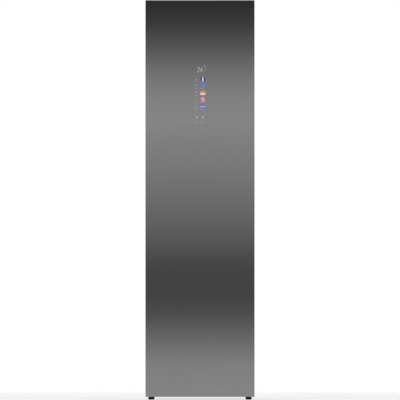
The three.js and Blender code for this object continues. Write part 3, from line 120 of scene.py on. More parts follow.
# Round studio wall that the door mirrors: metres above or below the camera on the door, tone seen there
WALL_RADIUS = 4.0
WALL_SIDES = 48
WALL_BELOW = 16.0
WALL_ABOVE = 6.0
STUDIO_BANDS = (
    (-3.4, 0.36), (-2.3, 0.56), (-1.7, 0.71), (-1.25, PALE_REFLECTION), (-0.9, 0.76), (-0.76, 0.69),
    (-0.65, 0.465), (-0.54, 0.26), (-0.46, 0.19), (-0.39, 0.185), (-0.3, 0.2), (-0.19, 0.315),
    (-0.01, 0.49), (0.15, 0.635), (0.37, 0.775), (0.48, 0.715), (0.59, 0.535), (0.7, 0.305),
    (0.81, 0.145), (0.92, 0.08), (1.04, 0.2), (1.25, PALE_REFLECTION), (1.7, 0.82),
)

# What shiny things mirror elsewhere: height of the direction, tone of the studio there
STUDIO_ROUND = (
    (-1.0, 0.32), (-0.55, 0.4), (-0.3, 0.6), (-0.1, PALE_REFLECTION), (0.12, PALE_REFLECTION),
    (0.34, 0.86), (0.5, 0.55), (0.66, 0.46), (0.84, 0.88), (1.0, 0.88),
)

# Edges and small shapes
EDGE = 0.8 * MM
FINE_EDGE = 0.3 * MM
EDGE_STEPS = 2
SHARP_ANGLE = math.radians(32)
FLAT_ANGLE = math.radians(0.5)
WELD = 0.1 * MM
SUNK = 0.4 * MM
PRINT_THICKNESS = 0.2 * MM

# Middle range of a noise's values, and how finishes use noise
NOISE_LOW, NOISE_HIGH = 0.3, 0.7
TONE_LOW, TONE_HIGH = 0.25, 0.75
FINE_SHARE = 0.35
WIDE_SHARE = 0.65
RELIEF_STRENGTH = 0.5
RIDGE_STRENGTH = 0.6


def linear(value):
    """Linear share of a display tone between 0 and 255."""
    share = value / 255
    return share / 12.92 if share <= 0.04045 else ((share + 0.055) / 1.055) ** 2.4


def tone(red, green, blue):
    """Linear colour of three display tones."""
    return linear(red), linear(green), linear(blue), 1.0


def grey(value):
    """Linear grey of one display tone."""
    return tone(value, value, value)


# Materials
def empty_tree(owner, output="ShaderNodeOutputMaterial"):
    """Tree of a material or world with nothing but its output, and the output's socket."""
    owner.use_nodes = True
    tree = owner.node_tree
    tree.nodes.clear()
    return tree, tree.nodes.new(output).inputs["Surface"]


def new_material(name):
    """Material with its tree and shader."""
    material = bpy.data.materials.new(name)
    tree, socket = empty_tree(material)
    shader = tree.nodes.new("ShaderNodeBsdfPrincipled")
    tree.links.new(shader.outputs["BSDF"], socket)
    return material, tree, shader


def mixed(tree, switch, where_not, where):
    """One shader or another by a switch between 0 and 1."""
    mix = tree.nodes.new("ShaderNodeMixShader")
    for socket, value in zip(mix.inputs, (switch, where_not, where)):
        tree.links.new(value, socket)
    return mix.outputs["Shader"]


def height_of(tree, place):
    """Height of a place or direction."""
    coordinates = tree.nodes.new("ShaderNodeTexCoord")
    split = tree.nodes.new("ShaderNodeSeparateXYZ")
    tree.links.new(coordinates.outputs[place], split.inputs["Vector"])
    return split.outputs["Z"]


def object_place(tree, stretch=(1, 1, 1)):
    """Place on the piece in metres, stretched for grain that runs one way."""
    place = tree.nodes.new("ShaderNodeTexCoord")
    mapping = tree.nodes.new("ShaderNodeMapping")
    mapping.inputs["Scale"].default_value = stretch
    tree.links.new(place.outputs["Object"], mapping.inputs["Vector"])
    return mapping.outputs["Vector"]


def noise(tree, place, scale, detail=3.0, roughness=0.55):
    """Cloudy value between 0 and 1."""
    texture = tree.nodes.new("ShaderNodeTexNoise")
    texture.inputs["Scale"].default_value = scale
    texture.inputs["Detail"].default_value = detail
    texture.inputs["Roughness"].default_value = roughness
    tree.links.new(place, texture.inputs["Vector"])
    return texture.outputs["Fac"]


def cells(tree, place, scale):
    """Random tone of each cell of a Voronoi pattern."""
    texture = tree.nodes.new("ShaderNodeTexVoronoi")
    texture.inputs["Scale"].default_value = scale
    tree.links.new(place, texture.inputs["Vector"])
    split = tree.nodes.new("ShaderNodeSeparateColor")
    tree.links.new(texture.outputs["Color"], split.inputs["Color"])
    return split.outputs["Red"]


def waves(tree, place, scale):
    """Value that rises and falls in bands."""
    texture = tree.nodes.new("ShaderNodeTexWave")
    texture.bands_direction = "X"
    texture.inputs["Scale"].default_value = scale
    tree.links.new(place, texture.inputs["Vector"])
    return texture.outputs["Fac"]


def ramp(tree, value, stops):
    """Colour between stops of (share, colour)."""
    colours = tree.nodes.new("ShaderNodeValToRGB")
    elements = colours.color_ramp.elements
    while len(elements) < len(stops):
        elements.new(0.5)
    for element, (share, colour) in zip(elements, stops):
        element.position = share
        element.color = colour
    tree.links.new(value, colours.inputs["Fac"])
    return colours.outputs["Color"]


def between(tree, value, low, high):
    """Value from low to high as the input goes over its middle range."""
    spread = tree.nodes.new("ShaderNodeMapRange")
    spread.inputs["From Min"].default_value = NOISE_LOW
    spread.inputs["From Max"].default_value = NOISE_HIGH
    spread.inputs["To Min"].default_value = low
    spread.inputs["To Max"].default_value = high
    tree.links.new(value, spread.inputs["Value"])
    return spread.outputs["Result"]


def bump(tree, shader, height, strength, depth):
    """Gives the shader a relief from a height."""
    relief = tree.nodes.new("ShaderNodeBump")
    relief.inputs["Strength"].default_value = strength
    relief.inputs["Distance"].default_value = depth
    tree.links.new(height, relief.inputs["Height"])
    tree.links.new(relief.outputs["Normal"], shader.inputs["Normal"])


def surface(name, dark, light, rough, metal=0.0, grain=300.0, cloud=9.0, relief=0.0, relief_scale=900.0,
            stretch=(1, 1, 1), spangle=0.0, ridges=0.0, **sockets):
    """Procedural finish: a cloudy mix of two tones with fine grain, uneven gloss and a fine relief."""
    material, tree, shader = new_material(name)
    place = object_place(tree, stretch)
    fine = noise(tree, place, grain)
    wide = cells(tree, place, spangle) if spangle else noise(tree, place, cloud, 4.0)
    mix = tree.nodes.new("ShaderNodeMath")
    mix.operation = "MULTIPLY_ADD"
    mix.inputs[1].default_value = FINE_SHARE
    tree.links.new(fine, mix.inputs[0])
    scaled = tree.nodes.new("ShaderNodeMath")
    scaled.operation = "MULTIPLY"
    scaled.inputs[1].default_value = WIDE_SHARE
    tree.links.new(wide, scaled.inputs[0])
    tree.links.new(scaled.outputs["Value"], mix.inputs[2])
    colour = ramp(tree, mix.outputs["Value"], ((TONE_LOW, dark), (TONE_HIGH, light)))
    tree.links.new(colour, shader.inputs["Base Color"])
    tree.links.new(between(tree, wide, *rough), shader.inputs["Roughness"])
    shader.inputs["Metallic"].default_value = metal
    for socket, value in sockets.items():
        shader.inputs[socket.replace("_", " ")].default_value = value
    if ridges:
        bump(tree, shader, waves(tree, place, ridges), RIDGE_STRENGTH, relief)
    elif relief:
        bump(tree, shader, noise(tree, place, relief_scale, 2.0), RELIEF_STRENGTH, relief)
    return material


def finishes():
    """Material of each of the record's slots."""
    def look(*tones, **details):
        return tones, details

    looks = {
        "dark_mirror_glass": look(
            (0.285, 0.287, 0.29, 1), (0.312, 0.312, 0.312, 1), (0.006, 0.014), metal=1.0, grain=40,
            cloud=1.3,
        ),
        "painted_steel": look(
            grey(50), grey(60), (0.34, 0.44), metal=0.25, cloud=5, relief=0.04 * MM, relief_scale=700,
        ),
        "door_profile": look(
            grey(44), grey(56), (0.3, 0.4), metal=0.6, cloud=12, relief=0.02 * MM, stretch=(1, 1, 0.05),
        ),
        "galvanised_steel": look(
            tone(160, 164, 167), tone(177, 180, 182), (0.38, 0.48), metal=0.6, spangle=190, grain=700,
            relief=0.02 * MM,
        ),
        "machined_steel": look(
            tone(150, 153, 156), tone(182, 184, 186), (0.24, 0.38), metal=0.95, cloud=30, relief=0.01 * MM,
            stretch=(1, 1, 0.08),
        ),
        "chrome": look(grey(214), grey(226), (0.06, 0.12), metal=1.0, cloud=14, grain=120),
        "liner_plastic": look(
            tone(216, 217, 216), tone(226, 226, 224), (0.38, 0.48), cloud=4, relief=0.03 * MM,
            relief_scale=1300, Coat_Weight=0.1, Coat_Roughness=0.3,
        ),
        "grey_plastic": look(
            tone(146, 149, 153), tone(160, 163, 166), (0.45, 0.58), cloud=8, relief=0.05 * MM,
            relief_scale=1500,
        ),
        "dark_plastic": look(
            tone(34, 35, 38), tone(46, 47, 50), (0.42, 0.58), cloud=8, relief=0.05 * MM, relief_scale=1500,
        ),
        # black rubber, its tones set darker than the rubber itself: painted shade from the cabinet above the
        # feet
        "black_rubber": look(
            grey(14), grey(24), (0.68, 0.86), cloud=20, relief=0.08 * MM, relief_scale=600,
        ),
        "grey_rubber": look(
            tone(150, 152, 154), tone(166, 168, 169), (0.6, 0.78), cloud=12, relief=0.04 * MM,
        ),
        "tank_plastic": look(
            tone(150, 168, 186), tone(170, 186, 200), (0.1, 0.2), cloud=5, relief=0.02 * MM,
            Transmission_Weight=0.6, IOR=1.45,
        ),
        "press_felt": look(
            tone(156, 151, 143), tone(180, 175, 167), (0.85, 0.98), grain=2400, cloud=420, relief=0.3 * MM,
            relief_scale=900, Sheen_Weight=0.3, Sheen_Roughness=0.5,
        ),
        "copper": look(tone(176, 104, 66), tone(204, 134, 90), (0.22, 0.42), metal=1.0, cloud=35),
        "fin_aluminium": look(
            tone(178, 181, 184), tone(206, 208, 210), (0.3, 0.42), metal=0.9, cloud=40, relief=0.6 * MM,
            ridges=170,
        ),
        "compressor_black": look(
            grey(24), grey(38), (0.3, 0.46), cloud=14, relief=0.1 * MM, relief_scale=300,
        ),
        "lamp_diffuser": look(
            tone(236, 236, 230), tone(246, 246, 240), (0.4, 0.5), cloud=20, relief=0.05 * MM,
            relief_scale=800,
        ),
        "display": look(grey(18), grey(28), (0.3, 0.42), cloud=20, relief=0.02 * MM),
    }
    return {name: surface(name, *tones, **details) for name, (tones, details) in looks.items()}


finish_of = finishes()
stood_for = set()


# Mesh building
def plain_mesh(name, built):
    """Mesh of a bmesh, without the normals that an import leaves."""
    built.verts.index_update()
    mesh = bpy.data.meshes.new(name)
    corners = [vertex.co.copy() for vertex in built.verts]
    faces = [[vertex.index for vertex in face.verts] for face in built.faces]
    mesh.from_pydata(corners, [], faces)
    built.free()
    return mesh


def add_piece(name, mesh, body, slot, finish=None, replaced=(), edge=0.0, smooth=True):
    """Places a mesh in the scene on its body, in the finish of its slot, with eased edges if asked."""
    mesh.validate()
    if smooth:
        mesh.shade_smooth()
    piece = bpy.data.objects.new(name, mesh)
    scene.collection.objects.link(piece)
    mesh.materials.append(finish or finish_of[slot])
    if edge:
        bevel = piece.modifiers.new("edges", "BEVEL")
        bevel.width = edge
        bevel.segments = EDGE_STEPS
        bevel.limit_method = "ANGLE"
        bevel.angle_limit = SHARP_ANGLE
        bevel.use_clamp_overlap = True
        normals = piece.modifiers.new("normals", "WEIGHTED_NORMAL")
        normals.keep_sharp = False
    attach(piece, body)
    if replaced:
        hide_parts(*replaced)
        stood_for.update(replaced)


def from_node(node):
    """Bmesh of a CAD node with its flat faces made whole."""
    built = bmesh.new()
    built.from_mesh(nodes[node].data)
    bmesh.ops.remove_doubles(built, verts=built.verts, dist=WELD)
    bmesh.ops.dissolve_limit(
        built, angle_limit=FLAT_ANGLE, verts=built.verts, edges=built.edges,
        use_dissolve_boundaries=False,
    )
    return built


def dress(node, edge=EDGE):
    """The node's own shape with eased edges, in the finish of its slot."""
    mesh = plain_mesh(f"{node}_skin", from_node(node))
    add_piece(f"{node}_skin", mesh, body_of[node], slot_of[node], replaced=(node,), edge=edge)


def block(built, x, y, z):
    """Adds a block between three pairs of sides."""
    low = Vector((min(x), min(y), min(z)))
    high = Vector((max(x), max(y), max(z)))
    size = high - low
    place = Matrix.Translation((low + high) / 2) @ Matrix.Diagonal((*size, 1))
    bmesh.ops.create_cube(built, size=1, matrix=place)


def grid_faces(built, rings, closed_path=False):
    """Faces between rings of vertices, and from the last ring to the first where the path is closed."""
    count = len(rings[0])
    pairs = list(zip(rings, rings[1:]))
    if closed_path:
        pairs.append((rings[-1], rings[0]))
    for first, second in pairs:
        for i in range(count):
            j = (i + 1) % count
            built.faces.new((first[i], first[j], second[j], second[i]))


def turned(built, profile, centre, axis="Z", sides=48, flutes=None):
    """Adds a closed turned body from (radius, height) pairs that start and end on the axis."""
    turn = {"Z": Matrix.Identity(3), "X": Matrix.Rotation(math.pi / 2, 3, "Y"),
            "Y": Matrix.Rotation(-math.pi / 2, 3, "X")}[axis]
    rings = []
    for radius, height in profile[1:-1]:
        ring = []
        for i in range(sides):
            angle = i * FULL_TURN / sides
            wave = flutes(angle, height) if flutes else 0.0
            spot = Vector(((radius + wave) * math.cos(angle), (radius + wave) * math.sin(angle), height))
            ring.append(built.verts.new(turn @ spot + Vector(centre)))
        rings.append(ring)
    grid_faces(built, rings)
    for ring, (_, height), way in ((rings[0], profile[0], -1), (rings[-1], profile[-1], 1)):
        middle = built.verts.new(turn @ Vector((0, 0, height)) + Vector(centre))
        for i in range(sides):
            pair = (ring[i], ring[(i + 1) % sides])
            built.faces.new((*(pair if way > 0 else pair[::-1]), middle))


def tube(built, points, radius, sides):
    """Adds a round tube along points, with tapered ends."""
    spots = [Vector(point) for point in points]
    end_reach, end_size = 0.7, 0.6
    first = (spots[0] - spots[1]).normalized()
    last = (spots[-1] - spots[-2]).normalized()
    spots = [spots[0] + first * radius * end_reach, *spots, spots[-1] + last * radius * end_reach]
    side = None
    rings = []
    for i, spot in enumerate(spots):
        along = (spots[min(i + 1, len(spots) - 1)] - spots[max(i - 1, 0)]).normalized()
        if side is None:
            side = along.orthogonal().normalized()
        side = (side - along * side.dot(along)).normalized()
        other = along.cross(side)
        size = radius * (end_size if i in (0, len(spots) - 1) else 1.0)
        rings.append([
            built.verts.new(spot + size * (math.cos(angle) * side + math.sin(angle) * other))
            for angle in (k * FULL_TURN / sides for k in range(sides))
        ])
    grid_faces(built, rings)
    built.faces.new(rings[0][::-1])
    built.faces.new(rings[-1])


def raised(built, outline, low, high, axis="Y"):
    """Adds a flat outline given as pairs, raised from low to high along X or Y."""
    def spot(u, v, level):
        return (level, u, v) if axis == "X" else (u, level, v)

    front = [built.verts.new(spot(u, v, low)) for u, v in outline]
    rear = [built.verts.new(spot(u, v, high)) for u, v in outline]
    built.faces.new(front)
    built.faces.new(rear[::-1])
    count = len(outline)
    for i in range(count):
        j = (i + 1) % count
        built.faces.new((front[j], front[i], rear[i], rear[j]))


def outward(built):
    """Turns all faces outwards."""
    bmesh.ops.recalc_face_normals(built, faces=built.faces)


def rounded_outline(left, right, bottom, top, radius, steps=5):
    """Outline of a rectangle with round corners."""
    result = []
    corners = ((right - radius, top - radius, 0), (left + radius, top - radius, 1),
               (left + radius, bottom + radius, 2), (right - radius, bottom + radius, 3))
    for u, v, quarter in corners:
        for i in range(steps + 1):
            angle = (quarter + i / steps) * math.pi / 2
            result.append((u + radius * math.cos(angle), v + radius * math.sin(angle)))
    return result


# Head of a screw: shares of its radius and height, with a socket in the middle
SCREW_SHARES = ((1.0, 0.4), (0.8, 0.85), (0.45, 1.0), (0.38, 0.35), (0.0, 0.3))
SCREW_RADIUS = 3.2 * MM
SCREW_FOOT = 0.6 * MM


def screw_heads(name, places, face, height):
    """Low round screw heads with a socket each, seated on a rear face."""
    profile = [(across * SCREW_RADIUS, -SCREW_FOOT) for across in (0, 0.5, 1)]
    profile += [(across * SCREW_RADIUS, up * height) for across, up in SCREW_SHARES]
    built = bmesh.new()
    for x, z in places:
        turned(built, profile, (x, face, z), "Y", sides=20)
    outward(built)
    add_piece(name, plain_mesh(name, built), "cabinet", "machined_steel")


def border(built, left, right, bottom, top, radius, section):
    """Adds a closed profile of (inset, level along Y) run round a rectangle with round corners."""
    rings = []
    for inset, level in section:
        outline = rounded_outline(left + inset, right - inset, bottom + inset, top - inset, radius - inset)
        rings.append([built.verts.new((u, level, v)) for u, v in outline])
    grid_faces(built, rings, closed_path=True)


def bead_section(width, height, face, sunk, steps=6):
    """Profile of a half-round bead on a face, with its foot sunk into it."""
    angles = [math.pi * i / steps for i in range(steps + 1)]
    arc = [(width * (1 - math.cos(angle)) / 2, face + height * math.sin(angle)) for angle in angles]
    return [(0.0, face - sunk), *arc, (width, face - sunk)]


# Door
SEAL_WIDTH = 14 * MM
PANE_EDGE = 0.4 * MM


def mirror_pane():
    """Glass over the whole front, its edges ground round, set back by the display prints' thickness."""
    low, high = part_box("door_glass")
    built = bmesh.new()
    block(built, (low.x, high.x), (low.y + PRINT_THICKNESS, high.y), (low.z, high.z))
    mesh = plain_mesh("door_pane", built)
    add_piece("door_pane", mesh, "door", "dark_mirror_glass", replaced=("door_glass",), edge=PANE_EDGE)


# Section of the magnetic seal in shares of its width and depth: foot, two bellows folds, magnet pocket
SEAL_SHARES = (
    (0.0, 0.04), (0.0, 0.22), (0.16, 0.3), (0.05, 0.42), (0.05, 0.56), (0.16, 0.64), (0.02, 0.74),
    (0.0, 0.88), (0.06, 0.98), (0.2, 1.0), (0.8, 1.0), (0.94, 0.98), (1.0, 0.88), (0.98, 0.74),
    (0.84, 0.64), (0.95, 0.56), (0.95, 0.42), (0.84, 0.3), (1.0, 0.22), (1.0, 0.04), (0.9, 0.0),
    (0.1, 0.0),
)


def door_seal():
    """Magnetic seal with its bellows, run round the chamber's opening."""
    low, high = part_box("door_gasket")
    corner = SEAL_WIDTH + 2 * MM
    section = [(across * SEAL_WIDTH, low.y + out * (high.y - low.y)) for across, out in SEAL_SHARES]
    built = bmesh.new()
    border(built, low.x, high.x, low.z, high.z, corner, section)
    outward(built)
    mesh = plain_mesh("door_seal", built)
    add_piece("door_seal", mesh, "door", "grey_rubber", replaced=("door_gasket",))


def door_liner_beads():
    """Bead inside the seal and short embossed bars above and below the press, on the door's inner skin."""
    seal_low, seal_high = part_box("door_gasket")
    press_low, press_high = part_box("press_board")
    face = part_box("door_liner")[1].y
    margin, corner = 10 * MM, 26 * MM
    width, proud, bar_proud = 6 * MM, 1.8 * MM, 1.44 * MM
    bar_half, bar_pitch, bars = 105 * MM, 26 * MM, 3
    inset = SEAL_WIDTH + margin
    built = bmesh.new()
    section = bead_section(width, proud, face, SUNK)
    left, right = seal_low.x + inset, seal_high.x - inset
    border(built, left, right, seal_low.z + inset, seal_high.z - inset, corner, section)
    for i in range(bars):
        for z in (press_low.z - (i + 2) * bar_pitch, press_high.z + (i + 2) * bar_pitch):
            outline = rounded_outline(-bar_half, bar_half, z - width / 2, z + width / 2, width / 2 - SUNK)
            raised(built, outline, face - SUNK, face + bar_proud)
    outward(built)
    mesh = plain_mesh("door_liner_beads", built)
    add_piece("door_liner_beads", mesh, "door", "liner_plastic", edge=FINE_EDGE)


# Trouser press
BOARD_DEPTH = 10 * MM
KNUCKLE_RADIUS = 8 * MM
FELT_PROUD = 1.6 * MM
FELT_MARGIN = 8 * MM
FELT_CORNER = 12 * MM


def press_felt(name, body, low, top, face, way):
    """Felt facing with round corners, glued to a face of the press."""
    built = bmesh.new()
    outline = rounded_outline(
        low.x + FELT_MARGIN, -low.x - FELT_MARGIN, low.z + FELT_MARGIN, top - FELT_MARGIN, FELT_CORNER,
    )
    raised(built, outline, face - way * SUNK, face + way * FELT_PROUD)
    outward(built)
    add_piece(name, plain_mesh(name, built), body, "press_felt", edge=0.6 * MM)


def trouser_press():
    """Moulded board and leaf with a felt facing each, and oblong bosses on the leaf's outer face."""
    low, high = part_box("press_board")
    clip_low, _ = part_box("trouser_clip")
    mesh = plain_mesh("press_board_skin", from_node("press_board"))
    add_piece("press_board_skin", mesh, "door", "liner_plastic", replaced=("press_board",), edge=1.0 * MM)
    press_felt("press_board_felt", "door", low, clip_low.z, low.y + BOARD_DEPTH, 1)
    low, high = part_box("press_leaf")
    press_felt("press_leaf_felt", "press_leaf", low, high.z, low.y + KNUCKLE_RADIUS, -1)
    columns, rows = 7, 14
    half_width, half_height, corner, proud = 3 * MM, 14 * MM, 2.91 * MM, 0.8 * MM
    built = bmesh.new()
    for row in range(rows):
        shift = 0.5 * (row % 2)
        for column in range(columns - row % 2):
            x = low.x * (1 - 2 * (column + 1 + shift) / (columns + 1))
            z = low.z + (high.z - low.z) * (row + 1) / (rows + 1)
            outline = rounded_outline(
                x - half_width, x + half_width, z - half_height, z + half_height, corner, steps=3,
            )
            raised(built, outline, high.y - SUNK, high.y + proud)
    outward(built)
    mesh = plain_mesh("press_leaf_bosses", built)
    add_piece("press_leaf_bosses", mesh, "press_leaf", "liner_plastic", edge=FINE_EDGE)


# Lit marks of the display: the darker and the lighter tone of each colour
DISPLAY_COLOURS = {
    "mark": (grey(186), grey(204)),
    "key": (grey(158), grey(168)),
    "faint": (grey(150), grey(160)),
    "navy": (tone(52, 58, 122), tone(66, 72, 140)),
    "white": (tone(224, 232, 248), tone(236, 242, 252)),
    "blue": (tone(84, 122, 204), tone(98, 140, 214)),
    "orange": (tone(206, 122, 82), tone(220, 140, 98)),
    "peach": (tone(240, 204, 186), tone(246, 214, 198)),
    "pink": (tone(226, 140, 168), tone(236, 156, 180)),
    "red": (tone(206, 104, 108), tone(216, 120, 120)),
    "violet": (tone(96, 104, 196), tone(112, 122, 208)),
    "lavender": (tone(176, 182, 232), tone(190, 196, 238)),
}

# Prints: strength of their glow, share of their colour by daylight, scale of their grain
PRINT_GLOW = 0.85
PRINT_BODY = 0.12
PRINT_GRAIN = 320


def glow(name, dark, light):
    """Lit print: the colour glows by itself, so that the mirror's reflection doesn't change it."""
    material, tree, shader = new_material(name)
    place = object_place(tree)
    colour = ramp(tree, noise(tree, place, PRINT_GRAIN), ((NOISE_LOW, dark), (NOISE_HIGH, light)))
    dim = tree.nodes.new("ShaderNodeMixRGB")
    dim.blend_type = "MULTIPLY"
    dim.inputs["Fac"].default_value = 1.0
    dim.inputs["Color2"].default_value = (PRINT_BODY, PRINT_BODY, PRINT_BODY, 1)
    tree.links.new(colour, dim.inputs["Color1"])
    tree.links.new(dim.outputs["Color"], shader.inputs["Base Color"])
    tree.links.new(colour, shader.inputs["Emission Color"])
    shader.inputs["Emission Strength"].default_value = PRINT_GLOW
    shader.inputs["Roughness"].default_value = 0.5
    shader.inputs["Specular IOR Level"].default_value = 0.1
    return material


def stroke(points, width):
    """Outline of a bent line of constant width through points given as pairs."""
    spots = [Vector(point) for point in points]
    sharpest = 0.5
    left, right = [], []
    for i, spot in enumerate(spots):
        before = (spot - spots[i - 1]).normalized() if i else None
        after = (spots[i + 1] - spot).normalized() if i + 1 < len(spots) else before
        along = ((before or after) + after).normalized()
        normal = Vector((-along.y, along.x))
        reach = width / 2 / max(sharpest, normal.dot(Vector((-after.y, after.x))))
        left.append(tuple(spot + normal * reach))
        right.append(tuple(spot - normal * reach))
    return left + right[::-1]


def circle(x, z, radius, sides):
    """Outline of a circle."""
    angles = (i * FULL_TURN / sides for i in range(sides))
    return [(x + radius * math.cos(angle), z + radius * math.sin(angle)) for angle in angles]


def placed(outline, u, v):
    """Outline in millimetres, moved to its place in metres."""
    return [(u + x * MM, v + z * MM) for x, z in outline]


# Outlines of the garment pictures, in millimetres about their middle
JACKET = ((-11, -9), (-11, 3), (-7, 9), (-3, 10), (0, 8), (3, 10), (7, 9), (11, 3), (11, -9))
SHIRT_FRONT = ((-2.6, -9.5), (-2.6, 7), (0, 9.5), (2.6, 7), (2.6, -9.5))
JUMPER = (
    (-6, -10), (-6, 1), (-9, -7), (-12, -5), (-8, 7), (-3, 10), (0, 8.5), (3, 10), (8, 7), (12, -5),
    (9, -7), (6, 1), (6, -10),
)
BONNET = ((-12, -1), (-10.5, 5), (-6, 9), (0, 10.5), (6, 9), (10.5, 5), (12, -1))
BRIM = ((-12.5, -9), (-12.5, -1.5), (12.5, -1.5), (11, -9), (6, -10.5), (-6, -10.5))
DRESS = (
    (-10, -10), (-7, 1), (-10, 3), (-7, 9.5), (-3, 10), (0, 8), (3, 10), (7, 9.5), (10, 3), (7, 1),
    (11, -10),
)
POCKET = ((-12, -10), (-12, -4), (-7, -2.5), (-3.5, -6), (-5, -10))
TOWEL = ((-12, -10), (-12, -1), (-9, 6), (-3, 10), (4, 9.5), (10, 6), (12, -1), (12, -10))
TOWEL_BAND = ((-12, -4), (-12, 0), (12, 2), (12, -2))

# Generic line signs for the left column: strokes in millimetres about their middle
SIGNS = (
    (((-5, -3), (5, -3)), ((-5, -3), (0, 2), (5, -3)), ((0, 2), (1.5, 4), (0, 5.5))),
    (((-4, -6), (-4, 4), (0, 6), (4, 4), (4, -6)), ((-4, 4), (-6, 0)), ((4, 4), (6, 0))),
    (((-6, -2), (-3, 1), (0, -2), (3, 1), (6, -2)), ((-6, 2), (-3, 5), (0, 2), (3, 5), (6, 2))),
    (((0, 6), (-4, 0), (-2.5, -4.5), (2.5, -4.5), (4, 0), (0, 6)),),
    (((-5, -6), (-5, 6), (5, 6), (5, -6), (-5, -6)), ((-5, 0), (5, 0))),
)

# Numerals of the display: strokes in shares of their width and height
NUMERAL_SHARES = {
    "2": (((0.04, 0.74), (0.2, 0.95), (0.58, 1.0), (0.88, 0.86), (0.86, 0.62), (0.5, 0.34), (0.04, 0.02),
           (0.96, 0.02)),),
    "4": (((0.74, 0.0), (0.74, 1.0), (0.04, 0.3), (1.0, 0.3)),),
}
SLANT = 0.12


def display_marks():
    """Everything the display shows: one flat piece of prints for each colour, on the pane's face."""
    pane_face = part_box("door_glass")[0].y
    prints = {name: bmesh.new() for name in DISPLAY_COLOURS}

    def put(colour, outline, layer=0, step=0.3 * PRINT_THICKNESS):
        """Print on the pane; a second layer reaches the front, and the first stays a step behind it."""
        front = pane_face + (0 if layer else step)
        raised(prints[colour], outline, front, pane_face + 2 * PRINT_THICKNESS)

    def put_stroke(colour, points, u, v, width):
        """Bent line given in millimetres about a place in metres."""
        put(colour, stroke([(u + x * MM, v + z * MM) for x, z in points], width * MM))

    # Numerals with a ring and an arc beside them, in millimetres
    wide, tall, bottom = 11.5, 22.4, 1517.2
    numeral_line, ring_line, arc_line, sign_line = 1.7, 1.2, 1.6, 1.5
    for numeral, left in (("2", -14.2), ("4", -0.6)):
        for line in NUMERAL_SHARES[numeral]:
            points = [(left + x * wide + SLANT * z * tall, bottom + z * tall) for x, z in line]
            put_stroke("mark", points, 0, 0, numeral_line)
    put_stroke("key", circle(19.2, 1547.6, 2.2, 16), 0, 0, ring_line)
    arc = ((20.4, 1519.7), (24, 1526), (25.6, 1533), (24.8, 1540), (22.6, 1544))
    put_stroke("faint", arc, 0, 0, arc_line)

    # Heights of each row's picture and of the bars under it
    rows = ((1485.0, 1474.4), (1455.8, 1441.5), (1422.4, 1409.6), (1390.3, 1376.2), (1358.1, 1343.4))
    pictures = (
        (("navy", JACKET), ("white", SHIRT_FRONT)),
        (("blue", JUMPER),),
        (("orange", BONNET), ("peach", BRIM)),
        (("pink", DRESS), ("red", POCKET)),
        (("violet", TOWEL), ("lavender", TOWEL_BAND)),
    )
    sign_x, picture_x, bar_x = -17.3 * MM, 13.2 * MM, 10.5 * MM
    sign_bar, picture_bar = 6 * MM, 8 * MM
    bar_half, bar_corner = 1.2 * MM, 1.1 * MM
    for (z, label_z), picture, sign in zip(rows, pictures, SIGNS):
        for layer, (colour, outline) in enumerate(picture):
            put(colour, placed(outline, picture_x, z * MM), layer)
        for points in sign:
            put_stroke("faint", points, sign_x, z * MM, sign_line)
        for x, half in ((sign_x, sign_bar), (bar_x, picture_bar)):
            bottom = label_z * MM - bar_half
            put("faint", rounded_outline(x - half, x + half, bottom, bottom + 2 * bar_half, bar_corner))

    # Touch keys with a bar under each
    key_z, key_radius, key_sides = 1308.6 * MM, 5.4 * MM, 28
    for x in (-13.7, 14.1):
        put("key", circle(x * MM, key_z, key_radius, key_sides))
    bottom, top, corner = 1280.4 * MM, 1284.6 * MM, 1.6 * MM
    for x, half in ((-16.4, 7.5), (11.8, 6.5)):
        put("faint", rounded_outline((x - half) * MM, (x + half) * MM, bottom, top, corner))
    for colour, built in prints.items():
        outward(built)
        print_finish = glow(f"print_{colour}", *DISPLAY_COLOURS[colour])
        name = f"display_print_{colour}"
        add_piece(name, plain_mesh(name, built), "door", "display", finish=print_finish, smooth=False)


# Case
FOOT_FLUTES = 24
THREAD_PITCH = 1.4 * MM
THREAD_DEPTH = 0.5 * MM

# Foot pad from the floor up: shares of its radius, heights in millimetres; its rim is fluted
FOOT_RIM = 0.97
FOOT_RIM_LOW, FOOT_RIM_HIGH = 3.4, 9.8
FOOT_PROFILE = (
    (0.0, 0.8), (0.39, 0.8), (0.43, 0.0), (0.82, 0.0), (0.89, 0.5), (0.96, 2.2), (FOOT_RIM, FOOT_RIM_LOW),
    (FOOT_RIM, FOOT_RIM_HIGH), (0.94, 11.4), (0.87, 12.9), (0.83, 13.4), (0.37, 13.5),
)


def feet():
    """Round levelling feet: a moulded pad with a fluted rim and a threaded stem."""
    for node in (name for name in nodes if name.startswith("levelling_foot")):
        low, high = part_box(node)
        radius = (high.x - low.x) / 2
        stem, plain, chamfer = 5 * MM, 1 * MM, 1.2 * MM
        profile = [(share * radius, height * MM) for share, height in FOOT_PROFILE]
        height = profile[-1][1] + plain
        while height < high.z - 2 * plain:
            profile += [(stem - THREAD_DEPTH, height), (stem, height + THREAD_PITCH / 2)]
            height += THREAD_PITCH
        profile += [(stem - THREAD_DEPTH, high.z - chamfer / 2), (stem - chamfer, high.z), (0, high.z)]

        def flutes(angle, height, depth=radius * (1 - FOOT_RIM)):
            inside = FOOT_RIM_LOW * MM - SUNK < height < FOOT_RIM_HIGH * MM + SUNK
            return depth * (1 + math.cos(angle * FOOT_FLUTES)) / 2 if inside else 0.0

        built = bmesh.new()
        centre = ((low.x + high.x) / 2, (low.y + high.y) / 2, 0)
        turned(built, profile, centre, sides=4 * FOOT_FLUTES, flutes=flutes)
        outward(built)
        mesh = plain_mesh(f"{node}_pad", built)
        # the pads' black rubber carries painted shade from the cabinet above
        add_piece(f"{node}_pad", mesh, body_of[node], "black_rubber", replaced=(node,))


